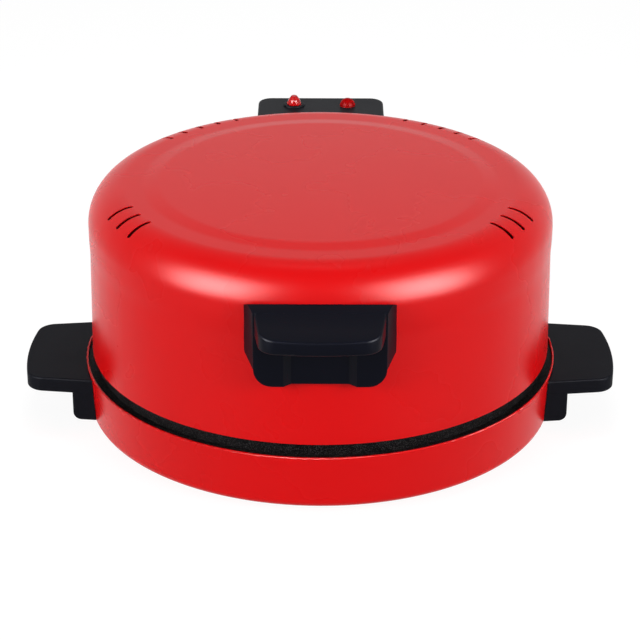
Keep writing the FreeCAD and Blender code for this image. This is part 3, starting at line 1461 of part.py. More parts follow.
channel_middle = ear_outer - d.housing_wall / 2 - d.channel_width / 2
channel_start = channel_middle - d.channel_width / 2
pin_seat_bore = d.pin_radius + d.pin_fixed_gap
hollow_seat_bore = d.hollow_pin_radius + d.pin_fixed_gap
gland_hole = d.gland_body_radius + d.fit_gap
lower_bores += [
    cylinder("left_ear_bore", pin_seat_bore, d.ear_width + d.cut_spare * 2, -ear_outer - d.cut_spare, hinge_back,
             hinge_height, ALONG_X),
    cylinder("right_ear_bore", hollow_seat_bore, channel_start - ear_inner + d.cut_spare, ear_inner - d.cut_spare,
             hinge_back, hinge_height, ALONG_X),
    box("wire_channel", (channel_start, channel_start + d.channel_width),
        (hinge_back - d.channel_width / 2, hinge_back + d.channel_width / 2),
        (lid_of_cavity - d.cut_spare, hinge_height + d.channel_width / 2)),
    cylinder("gland_hole", gland_hole, d.housing_wall * 3, d.gland_x, lower_back - d.housing_wall * 2,
             d.gland_height, ALONG_Y),
    radial_cylinder("housing_grommet_hole", grommet_outer, through_inner, cavity_front + d.cut_spare, REAR,
                    d.grommet_height),
]
lower_hinge_housing = cut("lower_hinge_housing", lower_solid, lower_bores)
lower_head_seat = wall_radius_at(d.lower_pillar_height) - d.base_wall - d.wall_gap
lower_housing_screws = gather("lower_housing_screws", [
    radial_screw("lower_housing_screw_%d" % index, lower_pillar_end - lower_head_seat - d.screw_bore_spare,
                 lower_head_seat, angle, d.lower_pillar_height)
    for index, angle in enumerate(lower_pillar_angles)
])
cover_half = lower_inner_half - d.seat_gap
lower_cover_blank = curved_box("lower_cover_blank", cover_half, lower_back - d.housing_wall - d.seat_gap,
                               d.lower_bottom, cover_top, cavity_front + d.seat_gap)
lower_cover_holes = []
lower_cover_screw_list = []
lower_hole_height = d.housing_wall + d.cut_spare * 2
for side in SIDES:
    x = side * cover_boss_x
    lower_cover_holes.append(cylinder("lower_cover_hole_%d" % (side + 1), bore_radius, lower_hole_height, x,
                                      cover_boss_y, d.lower_bottom - d.cut_spare))
    lower_cover_screw_list.append(upright_screw("lower_cover_screw_%d" % (side + 1), d.lower_cover_screw_length, x,
                                                cover_boss_y, d.lower_bottom))
block_back_edge = lower_back - d.housing_wall - d.terminal_back_gap
block_middle = block_back_edge - d.terminal_width / 2
lower_cover_holes.append(cylinder("terminal_screw_hole", bore_radius, lower_hole_height, 0, block_middle,
                                  d.lower_bottom - d.cut_spare))
lower_housing_cover = cut("lower_housing_cover", lower_cover_blank, lower_cover_holes)
lower_cover_screws = gather("lower_cover_screws", lower_cover_screw_list)


# Hinge pins: a plain one on the left and a hollow one on the right for the lid's wires

pin_start = -ear_outer
hinge_pin_left = cylinder("hinge_pin_left", d.pin_radius, ear_outer - bore_half, pin_start, hinge_back, hinge_height,
                          ALONG_X)
hollow_pin_blank = cylinder("hollow_pin_blank", d.hollow_pin_radius, channel_start - bore_half, bore_half, hinge_back,
                            hinge_height, ALONG_X)
hollow_pin_hole_cut = cylinder("hollow_pin_hole", d.hollow_pin_bore, channel_start - bore_half + d.cut_spare * 2,
                               bore_half - d.cut_spare, hinge_back, hinge_height, ALONG_X)
hinge_pin_right = cut("hinge_pin_right", hollow_pin_blank, [hollow_pin_hole_cut])


# Cord gland and terminal block in the lower housing, and the grommet in the base wall

gland_start = rear_reach - d.gland_length
gland_body = cylinder("gland_body", d.gland_body_radius, d.gland_length, d.gland_x, gland_start, d.gland_height,
                      ALONG_Y)
gland_flange = cylinder("gland_flange", d.gland_flange_radius, d.gland_flange, d.gland_x, lower_back,
                        d.gland_height, ALONG_Y)
gland_passage = cylinder("gland_passage", d.gland_bore, d.gland_length + d.cut_spare * 2, d.gland_x,
                         gland_start - d.cut_spare, d.gland_height, ALONG_Y)
cord_gland = cut("cord_gland", fuse("gland_blank", [gland_body, gland_flange]), [gland_passage])

block_box = box("terminal_box", (-d.terminal_length / 2, d.terminal_length / 2),
                (block_back_edge - d.terminal_width, block_back_edge), (cover_top, cover_top + d.terminal_height))
block_hole = cylinder("terminal_fixing_hole", bore_radius, d.terminal_height / 2 + d.cut_spare, 0, block_middle,
                      cover_top - d.cut_spare)
terminal_block = cut("terminal_block", block_box, [block_hole])
terminal_block_screw = upright_screw("terminal_block_screw",
                                     d.housing_wall + d.terminal_height / 2 - d.screw_bore_spare, 0, block_middle,
                                     d.lower_bottom)
terminal_screws = gather("terminal_screws", [
    cylinder("terminal_screw_%d" % step, d.terminal_screw_radius, d.terminal_screw_height,
             (step - 1) * d.terminal_length / TERMINALS, block_middle + d.terminal_width / 4,
             cover_top + d.terminal_height)
    for step in range(TERMINALS)
])
grommet_start = base_low_radius - d.base_wall - d.wall_gap * 2
grommet_blank = cylinder("grommet_blank", d.grommet_radius, cavity_front + d.wall_gap - grommet_start, 0,
                         grommet_start, d.grommet_height, ALONG_Y)
grommet_passage = cylinder("grommet_passage", d.grommet_bore, cavity_front + d.cut_spare * 2 - grommet_start, 0,
                           grommet_start - d.cut_spare, d.grommet_height, ALONG_Y)
wire_grommet = cut("wire_grommet", grommet_blank, [grommet_passage])


# Wires: round tubes along straight runs joined by tangent arcs

def wire_path(points, bend):
    """Straight runs through the points with a tangent arc at each corner."""
    spots = [Vector(number(x), number(y), number(z)) for x, y, z in points]
    edges = []
    start = spots[0]
    for index in range(1, len(spots) - 1):
        corner = spots[index]
        before = (spots[index - 1] - corner).normalize()
        after = (spots[index + 1] - corner).normalize()
        half_turn = (math.pi - before.getAngle(after)) / 2
        shorter = min((spots[index - 1] - corner).Length, (spots[index + 1] - corner).Length)
        reach = min(number(bend) * math.tan(half_turn), shorter * RUN_SHARE)
        radius = reach / math.tan(half_turn)
        first = corner + before * reach
        last = corner + after * reach
        inward = (before + after).normalize()
        middle = corner + inward * (radius / math.cos(half_turn) - radius)
        edges.append(Part.LineSegment(start, first).toShape())
        edges.append(Part.Arc(first, middle, last).toShape())
        start = last
    edges.append(Part.LineSegment(start, spots[-1]).toShape())
    return Part.Wire(edges)


def wire(name, points, radius, bend):
    return solid_feature(name, swept_tube(wire_path(points, bend), radius))


element_wires = []
wire_low_height = flange_under + d.wire_low_rise
bundle_back = block_back_edge - d.terminal_width * 3 / 4
bundle_height = lid_of_cavity - d.bundle_drop
pin_tip = lower_element_reach + d.terminal_ceramic_length + d.terminal_pin_length + d.element_seat_gap
for side in SIDES:
    near = side * d.wire_spacing / 2
    far = side * d.element_end_spacing / 2
    element_wires.append(wire("element_wire_%d" % (side + 1), [
        (near, block_back_edge - d.terminal_width - d.element_seat_gap, d.grommet_height),
        (near, grommet_start - d.wire_entry_run, d.grommet_height),
        (far, wire_rise_back, wire_low_height),
        (far, wire_rise_back, lower_element_height),
        (far, pin_tip, lower_element_height),
    ], d.wire_radius, d.wire_bend))
element_supply_wires = gather("element_supply_wires", element_wires)
hinge_wires = wire("hinge_wires", [
    (d.bundle_start, hinge_back, hinge_height),
    (channel_middle, hinge_back, hinge_height),
    (channel_middle, hinge_back, bundle_height),
    (d.gland_x + d.wire_bend, bundle_back, bundle_height),
    (-d.wire_spacing, bundle_back, bundle_height),
    (-d.wire_spacing, bundle_back, cover_top + d.terminal_height + d.element_seat_gap),
], d.bundle_radius, d.bundle_bend)
lid_wire_list = []
wire_end = hinge_height
upper_pin_tip = upper_element_reach + d.terminal_ceramic_length + d.terminal_pin_length + d.element_seat_gap
for side in SIDES:
    near = side * d.wire_pitch / 2
    far = side * d.element_end_spacing / 2
    lid_wire_list.append(wire("upper_element_wire_%d" % (side + 1), [
        (near, hinge_back, wire_end),
        (near, hinge_back, wire_end + d.lid_wire_rise),
        (far, hinge_back, wire_end + d.lid_wire_rise * 2),
        (far, hinge_back, upper_element_height),
        (far, upper_pin_tip, upper_element_height),
    ], d.wire_radius, d.wire_bend))
    near = side * d.wire_pitch * 3 / 2
    far = side * d.lamp_spacing / 2
    lamp_under = upper_top - d.lamp_body_depth - d.element_seat_gap
    lid_wire_list.append(wire("lamp_wire_%d" % (side + 1), [
        (near, hinge_back, wire_end),
        (near, hinge_back, wire_end + d.lid_wire_rise - d.wire_pitch),
        (far, (hinge_back + lamp_back) / 2, wire_end + d.lid_wire_rise * 2 - d.wire_pitch),
        (far, lamp_back, lamp_under - d.lid_wire_rise / 2),
        (far, lamp_back, lamp_under),
    ], d.wire_radius, d.wire_bend))
lid_wires = gather("lid_wires", lid_wire_list)


# Grouped fasteners

bottom_cover_screws = gather("bottom_cover_screws", cover_screws)
foot_screw_group = gather("foot_screws", foot_screws)
foot_nut_group = gather("foot_nuts", foot_nuts)


# Every sub-part, checked and written to its own file

subparts = [
    base_shell, base_bottom_cover, bottom_cover_screws, foot_screw_group, foot_nut_group, centre_stud, centre_nut,
    cooking_plate, plate_support_ring, lower_reflector, lower_element, lower_element_terminals,
    lower_element_straps, lower_element_screws, thermostat, thermostat_bracket, thermal_fuse, thermal_fuse_clip,
    plate_small_screws, side_handle_right, side_handle_left, side_handle_screws, lower_hinge_housing,
    lower_housing_screws, lower_housing_cover, lower_cover_screws, hinge_pin_left, hinge_pin_right, cord_gland,
    terminal_block, terminal_block_screw, terminal_screws, wire_grommet, element_supply_wires, hinge_wires,
    lid_shell, lid_liner, upper_element, upper_element_terminals, upper_element_hangers, hanger_rivets,
    lid_handle, lid_handle_screws, upper_hinge_housing, upper_housing_screws, heating_lamp_body, ready_lamp_body,
    heating_lamp_bezel, heating_lamp_lens, ready_lamp_lens, lid_wires,
] + foot_nodes

doc.recompute()
for item in doc.Objects:
    if "Invalid" in item.State or "Error" in item.State:
        raise RuntimeError("%s did not build: %s" % (item.Name, item.State))
for item in subparts:
    if item.Shape.isNull() or not item.Shape.isValid():
        raise RuntimeError("%s has no valid shape" % item.Label)
for item in subparts:
    item.Shape.exportStep("parts/%s.step" % item.Label)
    print(item.Label, len(item.Shape.Solids), round(item.Shape.Volume, 1))
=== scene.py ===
import math
import bmesh
import bpy
from mathutils import Matrix, Vector


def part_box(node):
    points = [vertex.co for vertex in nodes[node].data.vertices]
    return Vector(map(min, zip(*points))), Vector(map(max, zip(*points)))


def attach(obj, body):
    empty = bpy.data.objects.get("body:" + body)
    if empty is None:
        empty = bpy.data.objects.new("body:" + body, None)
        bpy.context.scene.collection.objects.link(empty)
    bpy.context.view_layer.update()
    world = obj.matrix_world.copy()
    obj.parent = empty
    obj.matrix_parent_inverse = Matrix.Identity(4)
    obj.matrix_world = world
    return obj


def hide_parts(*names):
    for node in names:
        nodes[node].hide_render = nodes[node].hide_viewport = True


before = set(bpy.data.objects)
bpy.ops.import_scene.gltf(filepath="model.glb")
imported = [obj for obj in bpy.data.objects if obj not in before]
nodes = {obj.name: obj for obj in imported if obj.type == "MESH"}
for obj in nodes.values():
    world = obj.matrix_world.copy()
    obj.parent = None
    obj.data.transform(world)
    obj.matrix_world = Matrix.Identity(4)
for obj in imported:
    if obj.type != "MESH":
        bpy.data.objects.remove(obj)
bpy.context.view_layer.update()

scene = bpy.context.scene


# Camera
# The photograph looks down on the front of the cooker from a long lens, with the picture almost level.

LENS = 123.87
SENSOR = 36.0
CAMERA_AT = Vector((-0.00018, -1.58030, 0.81259))
LOOK_DOWN = math.radians(25.091)
CAMERA_ROLL = math.radians(0.159)

camera = bpy.data.objects.new("camera", bpy.data.cameras.new("camera"))
scene.collection.objects.link(camera)
camera.data.lens = LENS
camera.data.sensor_width = SENSOR
camera.data.clip_start = 0.05
camera.data.clip_end = 40.0
facing = Matrix.Rotation(math.pi / 2 - LOOK_DOWN, 4, "X") @ Matrix.Rotation(CAMERA_ROLL, 4, "Z")
camera.matrix_world = Matrix.Translation(CAMERA_AT) @ facing
scene.camera = camera
scene.view_settings.view_transform = "Standard"


# Worktop and backdrop
# A plain white seamless surface under the cooker. It shows white to the camera, and keeps a soft shadow.

FLOOR_HALF = 6.0
FLOOR_GLOW = 0.90
FLOOR_BOUNCE = 0.40
FLOOR_PAINT = (0.16, 0.16, 0.16, 1.0)


def seen_plainly(tree):
    """Light Path's value for rays that see a surface directly, in a reflection or through glass."""
    path = tree.nodes.new("ShaderNodeLightPath")
    first = tree.nodes.new("ShaderNodeMath")
    first.operation = "MAXIMUM"
    second = tree.nodes.new("ShaderNodeMath")
    second.operation = "MAXIMUM"
    tree.links.new(path.outputs["Is Camera Ray"], first.inputs[0])
    tree.links.new(path.outputs["Is Glossy Ray"], first.inputs[1])
    tree.links.new(first.outputs[0], second.inputs[0])
    tree.links.new(path.outputs["Is Transmission Ray"], second.inputs[1])
    return second.outputs[0]


sheet = bmesh.new()
bmesh.ops.create_grid(sheet, x_segments=1, y_segments=1, size=FLOOR_HALF)
floor_mesh = bpy.data.meshes.new("floor")
sheet.to_mesh(floor_mesh)
sheet.free()
floor = bpy.data.objects.new("floor", floor_mesh)
scene.collection.objects.link(floor)
white_sweep = bpy.data.materials.new("white_sweep")
white_sweep.use_nodes = True
tree = white_sweep.node_tree
tree.nodes.clear()
matt = tree.nodes.new("ShaderNodeBsdfDiffuse")
matt.inputs["Color"].default_value = FLOOR_PAINT
glow = tree.nodes.new("ShaderNodeEmission")
strength = tree.nodes.new("ShaderNodeMapRange")
strength.inputs["To Min"].default_value = FLOOR_BOUNCE
strength.inputs["To Max"].default_value = FLOOR_GLOW
tree.links.new(seen_plainly(tree), strength.inputs["Value"])
tree.links.new(strength.outputs["Result"], glow.inputs["Strength"])
both = tree.nodes.new("ShaderNodeAddShader")
tree.links.new(matt.outputs[0], both.inputs[0])
tree.links.new(glow.outputs[0], both.inputs[1])
surface = tree.nodes.new("ShaderNodeOutputMaterial")
tree.links.new(both.outputs[0], surface.inputs["Surface"])
floor_mesh.materials.append(white_sweep)


# Studio light
# Two large soft boxes stand in front, left and right, and leave a dark gap between them. A third hangs overhead.
# Their faces fade towards the edges. Two wider ones show only as soft reflections, in the coated parts listed in
# the section on sheen.

FILL = 0.26
EDGE_FADE = 0.8
SOFT_BOXES = {
    # name: (azimuth from the front, elevation, distance, width, height, watts, only reflected)
    "soft_box_left": (-48.0, 20.0, 1.7, 1.25, 0.85, 44.0, False),
    "soft_box_right": (48.0, 20.0, 1.7, 1.25, 0.85, 44.0, False),
    "soft_box_top": (180.0, 75.0, 1.7, 1.2, 0.7, 26.0, False),
    "sheen_left": (-50.0, 20.0, 1.7, 1.75, 2.2, 500.0, True),
    "sheen_right": (50.0, 20.0, 1.7, 1.75, 2.2, 500.0, True),
}
LIGHT_AIM = Vector((0.0, 0.0, 0.12))

coated = bpy.data.collections.new("coated_parts")
world = bpy.data.worlds.new("studio")
scene.world = world
world.use_nodes = True
tree = world.node_tree
tree.nodes.clear()
sky = tree.nodes.new("ShaderNodeBackground")
sky.inputs["Color"].default_value = (1.0, 1.0, 1.0, 1.0)
level = tree.nodes.new("ShaderNodeMapRange")
level.inputs["To Min"].default_value = FILL
level.inputs["To Max"].default_value = 1.0
tree.links.new(seen_plainly(tree), level.inputs["Value"])
tree.links.new(level.outputs["Result"], sky.inputs["Strength"])
surface = tree.nodes.new("ShaderNodeOutputWorld")
tree.links.new(sky.outputs[0], surface.inputs["Surface"])


def fade_to_edges(light):
    """A soft box's face: bright in the middle, falling off smoothly to its four edges."""
    light.use_nodes = True
    tree = light.node_tree
    spot = tree.nodes.new("ShaderNodeNewGeometry")
    split = tree.nodes.new("ShaderNodeSeparateXYZ")
    tree.links.new(spot.outputs["Parametric"], split.inputs[0])
    falls = []
    for axis in ("X", "Y"):
        off_middle = tree.nodes.new("ShaderNodeMath")
        off_middle.operation = "SUBTRACT"
        off_middle.inputs[1].default_value = 0.5
        away = tree.nodes.new("ShaderNodeMath")
        away.operation = "ABSOLUTE"
        fall = tree.nodes.new("ShaderNodeMapRange")
        fall.interpolation_type = "SMOOTHSTEP"
        fall.inputs["From Min"].default_value = 0.5
        fall.inputs["From Max"].default_value = 0.5 - EDGE_FADE / 2
        tree.links.new(split.outputs[axis], off_middle.inputs[0])
        tree.links.new(off_middle.outputs[0], away.inputs[0])
        tree.links.new(away.outputs[0], fall.inputs["Value"])
        falls.append(fall.outputs["Result"])
    face = tree.nodes.new("ShaderNodeMath")
    face.operation = "MULTIPLY"
    tree.links.new(falls[0], face.inputs[0])
    tree.links.new(falls[1], face.inputs[1])
    tree.links.new(face.outputs[0], tree.nodes["Emission"].inputs["Strength"])


for name, (azimuth, elevation, distance, width, height, watts, only_reflected) in SOFT_BOXES.items():
    light = bpy.data.lights.new(name, "AREA")
    light.shape = "RECTANGLE"
    light.size = width
    light.size_y = height
    light.energy = watts
    fade_to_edges(light)
    lamp = bpy.data.objects.new(name, light)
    scene.collection.objects.link(lamp)
    lamp.visible_diffuse = not only_reflected
    lamp.visible_glossy = only_reflected
    if only_reflected:
        lamp.light_linking.receiver_collection = coated
    turn = math.radians(azimuth)
    climb = math.radians(elevation)
    away = Vector((math.sin(turn) * math.cos(climb), -math.cos(turn) * math.cos(climb), math.sin(climb)))
    lamp.location = LIGHT_AIM + away * distance
    lamp.rotation_euler = away.to_track_quat("Z", "Y").to_euler()


# Base shell
# A round pan of pressed steel with a rolled bead round its rim, stove-enamelled red. The paint has the faint
# orange peel that sprayed enamel keeps.

RED_PAINT = (0.68, 0.0, 0.001, 1.0)
RED_PAINT_THIN = (0.63, 0.0, 0.001, 1.0)
PAINT_DRIFT = 14.0
ORANGE_PEEL = 420.0


def soft_unevenness():
    """Shader group: two near colours mixed by a slow mottle, and a fine grain for roughness and bump."""
    group = bpy.data.node_groups.new("soft_unevenness", "ShaderNodeTree")
    kinds = {
        "Colour": "NodeSocketColor", "Second Colour": "NodeSocketColor", "Mottle Scale": "NodeSocketFloat",
        "Grain Scale": "NodeSocketFloat", "Smooth": "NodeSocketFloat", "Rough": "NodeSocketFloat",
        "Grain Height": "NodeSocketFloat",
    }
    for name, kind in kinds.items():
        group.interface.new_socket(name, in_out="INPUT", socket_type=kind)
    group.interface.new_socket("Colour", in_out="OUTPUT", socket_type="NodeSocketColor")
    group.interface.new_socket("Roughness", in_out="OUTPUT", socket_type="NodeSocketFloat")
    group.interface.new_socket("Normal", in_out="OUTPUT", socket_type="NodeSocketVector")
    given = group.nodes.new("NodeGroupInput")
    result = group.nodes.new("NodeGroupOutput")
    place = group.nodes.new("ShaderNodeTexCoord")
    mottle = group.nodes.new("ShaderNodeTexNoise")
    mottle.inputs["Detail"].default_value = 3.0
    grain = group.nodes.new("ShaderNodeTexNoise")
    grain.inputs["Detail"].default_value = 4.0
    colour = group.nodes.new("ShaderNodeMix")
    colour.data_type = "RGBA"
    rough = group.nodes.new("ShaderNodeMapRange")
    bump = group.nodes.new("ShaderNodeBump")
    link = group.links.new
    link(place.outputs["Object"], mottle.inputs["Vector"])
    link(place.outputs["Object"], grain.inputs["Vector"])
    link(given.outputs["Mottle Scale"], mottle.inputs["Scale"])
    link(given.outputs["Grain Scale"], grain.inputs["Scale"])
    link(mottle.outputs["Fac"], colour.inputs["Factor"])
    link(given.outputs["Colour"], colour.inputs["A"])
    link(given.outputs["Second Colour"], colour.inputs["B"])
    link(mottle.outputs["Fac"], rough.inputs["Value"])
    link(given.outputs["Smooth"], rough.inputs["To Min"])
    link(given.outputs["Rough"], rough.inputs["To Max"])
    link(grain.outputs["Fac"], bump.inputs["Height"])
    link(given.outputs["Grain Height"], bump.inputs["Distance"])
    link(colour.outputs["Result"], result.inputs["Colour"])
    link(rough.outputs["Result"], result.inputs["Roughness"])
    link(bump.outputs["Normal"], result.inputs["Normal"])
    return group


UNEVEN = soft_unevenness()


def finish(name, colours, scales, sheen, grain_height, specular, metallic=0.0):
    """A material whose colour, roughness and bump come from the unevenness group, and the rest from the shader."""
    material = bpy.data.materials.new(name)
    material.use_nodes = True
    tree = material.node_tree
    body = tree.nodes["Principled BSDF"]
    uneven = tree.nodes.new("ShaderNodeGroup")
    uneven.node_tree = UNEVEN
    for socket, value in zip(uneven.inputs, (*colours, *scales, *sheen, grain_height)):
        socket.default_value = value
    for output, socket in (("Colour", "Base Color"), ("Roughness", "Roughness"), ("Normal", "Normal")):
        tree.links.new(uneven.outputs[output], body.inputs[socket])
    body.inputs["Specular IOR Level"].default_value = specular
    body.inputs["Metallic"].default_value = metallic
    return material


def dress(material, *names):
    """Give CAD nodes a finish. Their shape is right as it is."""
    for name in names:
        for place in nodes[name].material_slots:
            place.material = material


red_enamel = finish("red_enamel", (RED_PAINT, RED_PAINT_THIN), (PAINT_DRIFT, ORANGE_PEEL), (0.25, 0.30), 0.000006, 0.12)
dress(red_enamel, "base_shell")


# Bottom cover, its screws, and the centre stud and nut
# A flat steel disc closes the base from below. Small pan-head screws hold it, and one stud with a nut clamps
# the cooking plate through the middle.

aluminised = finish("aluminised", ((0.56, 0.56, 0.55, 1), (0.46, 0.46, 0.45, 1)), (26.0, 600.0), (0.27, 0.40), 0.00001,
                    0.5, 1.0)
zinc = finish("zinc", ((0.55, 0.55, 0.53, 1), (0.42, 0.42, 0.40, 1)), (120.0, 900.0), (0.30, 0.42), 0.00001, 0.5, 1.0)
dress(aluminised, "base_bottom_cover")
dress(zinc, "bottom_cover_screws", "centre_stud", "centre_nut")


# Feet
# Four moulded rubber feet, each held by a screw in its recess and a nut inside the base.

rubber = finish("rubber", ((0.016, 0.016, 0.016, 1), (0.026, 0.026, 0.025, 1)), (80.0, 1800.0), (0.70, 0.85), 0.00005, 0.2)
dress(rubber, "foot_front_left", "foot_front_right", "foot_rear_left", "foot_rear_right", "wire_grommet")
dress(zinc, "foot_screws", "foot_nuts")


# Support ring and lower reflector
# Pressed aluminised sheet. The ring carries the plate's flange, and the dish under the element throws heat up.

dress(aluminised, "plate_support_ring", "lower_reflector")


# Lower element
# A tube of heat-darkened steel bent to a ring, with ceramic ends, held under the plate by screwed straps.

sheath = finish("sheath", ((0.16, 0.15, 0.14, 1), (0.10, 0.09, 0.08, 1)), (60.0, 900.0), (0.40, 0.55), 0.00002, 0.5, 1.0)
ceramic = finish("ceramic", ((0.78, 0.76, 0.70, 1), (0.70, 0.67, 0.60, 1)), (200.0, 2000.0), (0.60, 0.75), 0.00003, 0.4)
dress(sheath, "lower_element")
dress(aluminised, "lower_element_straps")
dress(zinc, "lower_element_screws")
dress(ceramic, "lower_element_terminals")


# Thermostat and thermal fuse
# A small disc thermostat in a bracket and a ceramic fuse in a spring clip, both screwed to the plate's underside.

dress(ceramic, "thermostat", "thermal_fuse")
dress(aluminised, "thermostat_bracket", "thermal_fuse_clip")
dress(zinc, "plate_small_screws")


# Cooking plate
# A shallow cast aluminium plate with an upstanding rim, sprayed with a black non-stick coat full of fine grey
# specks. The rim is the dark grainy band that shows between base and lid.

NON_STICK_DARK = (0.0012, 0.0010, 0.0012, 1.0)
NON_STICK_SPECK = (0.034, 0.031, 0.032, 1.0)
SPECK_SCALE = 1300.0

non_stick = bpy.data.materials.new("non_stick")
non_stick.use_nodes = True
tree = non_stick.node_tree
body = tree.nodes["Principled BSDF"]
place = tree.nodes.new("ShaderNodeTexCoord")
specks = tree.nodes.new("ShaderNodeTexNoise")
specks.inputs["Scale"].default_value = SPECK_SCALE
specks.inputs["Detail"].default_value = 2.0
cut_off = tree.nodes.new("ShaderNodeMapRange")
cut_off.inputs["From Min"].default_value = 0.50
cut_off.inputs["From Max"].default_value = 0.64
coat = tree.nodes.new("ShaderNodeMix")
coat.data_type = "RGBA"
coat.inputs["A"].default_value = NON_STICK_DARK
coat.inputs["B"].default_value = NON_STICK_SPECK
rough = tree.nodes.new("ShaderNodeMapRange")
rough.inputs["To Min"].default_value = 0.42
rough.inputs["To Max"].default_value = 0.60
bump = tree.nodes.new("ShaderNodeBump")
bump.inputs["Distance"].default_value = 0.00012
tree.links.new(place.outputs["Object"], specks.inputs["Vector"])
tree.links.new(specks.outputs["Fac"], cut_off.inputs["Value"])
tree.links.new(cut_off.outputs["Result"], coat.inputs["Factor"])
tree.links.new(coat.outputs["Result"], body.inputs["Base Color"])
tree.links.new(cut_off.outputs["Result"], rough.inputs["Value"])
tree.links.new(rough.outputs["Result"], body.inputs["Roughness"])
tree.links.new(specks.outputs["Fac"], bump.inputs["Height"])
tree.links.new(bump.outputs["Normal"], body.inputs["Normal"])
body.inputs["Specular IOR Level"].default_value = 0.02
dress(non_stick, "cooking_plate")


# Side handles
# Black heat-proof mouldings with a satin face, screwed on from inside the base wall.

side_black = finish("side_black", ((0.0060, 0.0066, 0.0095, 1), (0.0048, 0.0052, 0.0076, 1)), (30.0, 2200.0),
                    (0.40, 0.48), 0.00003, 0.02)
dress(side_black, "side_handle_left", "side_handle_right")
dress(zinc, "side_handle_screws")


# Lower hinge housing, its cover and the hinge pins
# A shallow black box behind the base with two ears. Steel pins through the ears carry the lid, and the right
# one is hollow for the lid's wires.

housing_black = finish("housing_black", ((0.0085, 0.0090, 0.0115, 1), (0.0070, 0.0072, 0.0095, 1)), (30.0, 2200.0),
                       (0.40, 0.48), 0.00003, 0.035)
dress(housing_black, "lower_hinge_housing", "lower_housing_cover")
dress(zinc, "lower_housing_screws", "lower_cover_screws", "hinge_pin_left", "hinge_pin_right")


# Cord entry and wiring
# A gland in the rear wall, a nylon terminal block with brass screws, and glass-sleeved wires to the element and
# through the hinge.

nylon = finish("nylon", ((0.75, 0.75, 0.71, 1), (0.68, 0.68, 0.63, 1)), (60.0, 1500.0), (0.40, 0.50), 0.00002, 0.4)
brass = finish("brass", ((0.75, 0.52, 0.20, 1), (0.60, 0.40, 0.15, 1)), (200.0, 1500.0), (0.28, 0.40), 0.00001, 0.5, 1.0)
sleeving = finish("sleeving", ((0.70, 0.67, 0.58, 1), (0.60, 0.57, 0.48, 1)), (300.0, 2500.0), (0.70, 0.85), 0.0001, 0.3)
dress(housing_black, "cord_gland")
dress(nylon, "terminal_block")
dress(brass, "terminal_screws")
dress(zinc, "terminal_block_screw")
dress(sleeving, "element_supply_wires", "hinge_wires", "lid_wires")


# Lid shell
# Drawn sheet steel with a slightly waisted wall, a full round shoulder and a raised round panel, enamelled red.
# Sixteen thin vents are pierced across the shoulder, six towards the front and ten towards the back.

LID_WALL = 0.0007
LID_PROFILE = ((0.1800, 0.0574), (0.1786, 0.1410), (0.17925, 0.1500), (0.17925, 0.1913), (0.1370, 0.1913),
               (0.1250, 0.1928), (0.0, 0.1928))
SHOULDER = (3, 0.0293, 28)
WAIST_CORNERS = ((1, 0.004, 3), (2, 0.004, 3))
PANEL_CORNERS = ((4, 0.0022, 4), (5, 0.0022, 4))
VENT_WIDTH = 0.0034
VENT_INNER = 0.1500
VENT_OUTER = 0.1705
VENT_END = 0.0009
VENT_SUPPORT = 0.3
VENT_MIDDLE = 0.160
VENT_STEP = 6.35
FRONT_VENTS = 21.2, 3
REAR_VENTS = 37.5, 5
LID_STEP = 3.0


def profile_chain(points, corners):
    """A bmesh with a chain of edges in the XZ plane, its listed corners rounded with a bevel."""
    shape = bmesh.new()
    chain = [shape.verts.new((x, 0.0, z)) for x, z in points]
    for first, second in zip(chain, chain[1:]):
        shape.edges.new((first, second))
    for index, offset, segments in corners:
        bmesh.ops.bevel(shape, geom=[chain[index]], offset=offset, offset_type="OFFSET", segments=segments,
                        profile=0.5, affect="VERTICES", material=-1)
    return shape


def smooth_piece(name, shape, body, material, crease):
    """Turn a finished bmesh into a piece that rides on a body, smooth but for open edges and those past the crease."""
    for face in shape.faces:
        face.smooth = True
    for side in shape.edges:
        side.smooth = side.is_manifold and side.calc_face_angle(0.0) < math.radians(crease)
    mesh = bpy.data.meshes.new(name)
    shape.to_mesh(mesh)
    shape.free()
    mesh.materials.append(material)
    piece = bpy.data.objects.new(name, mesh)
    scene.collection.objects.link(piece)
    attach(piece, body)
    return piece


vents = []
for first, count in (FRONT_VENTS, REAR_VENTS):
    for step in range(count):
        spread = first + step * VENT_STEP
        vents += [-spread, 180 + spread] if first == FRONT_VENTS[0] else [spread, 180 - spread]
vents = sorted(angle % 360 for angle in vents)
half_vent = math.degrees(VENT_WIDTH / 2 / VENT_MIDDLE)
columns = [0.0]
for angle in vents:
    columns += [angle - half_vent - VENT_SUPPORT, angle - half_vent, angle, angle + half_vent,
                angle + half_vent + VENT_SUPPORT]
columns.append(360.0)

shape = profile_chain(LID_PROFILE, (SHOULDER,) + WAIST_CORNERS + PANEL_CORNERS)
for radius in (VENT_INNER + VENT_END, VENT_OUTER - VENT_END):
    bmesh.ops.bisect_plane(shape, geom=shape.verts[:] + shape.edges[:], plane_co=(radius, 0, 0), plane_no=(1, 0, 0))
edge = shape.verts[:] + shape.edges[:]
for start, end in zip(columns, columns[1:]):
    turned = bmesh.ops.spin(shape, geom=edge, cent=(0, 0, 0), axis=(0, 0, 1), angle=math.radians(end - start),
                            steps=max(1, round((end - start) / LID_STEP)))
    edge = turned["geom_last"]
bmesh.ops.remove_doubles(shape, verts=shape.verts[:], dist=0.00002)
bmesh.ops.recalc_face_normals(shape, faces=shape.faces[:])


def in_a_vent(face):
    """Whether a face of the shoulder lies where a vent is pierced."""
    middle = face.calc_center_median()
    reach = math.hypot(middle.x, middle.y)
    if not VENT_INNER + VENT_END < reach < VENT_OUTER - VENT_END or middle.z < LID_PROFILE[2][1]:
        return False
    turn = math.degrees(math.atan2(middle.y, middle.x)) % 360
    return min(abs(turn - angle) for angle in vents) < half_vent


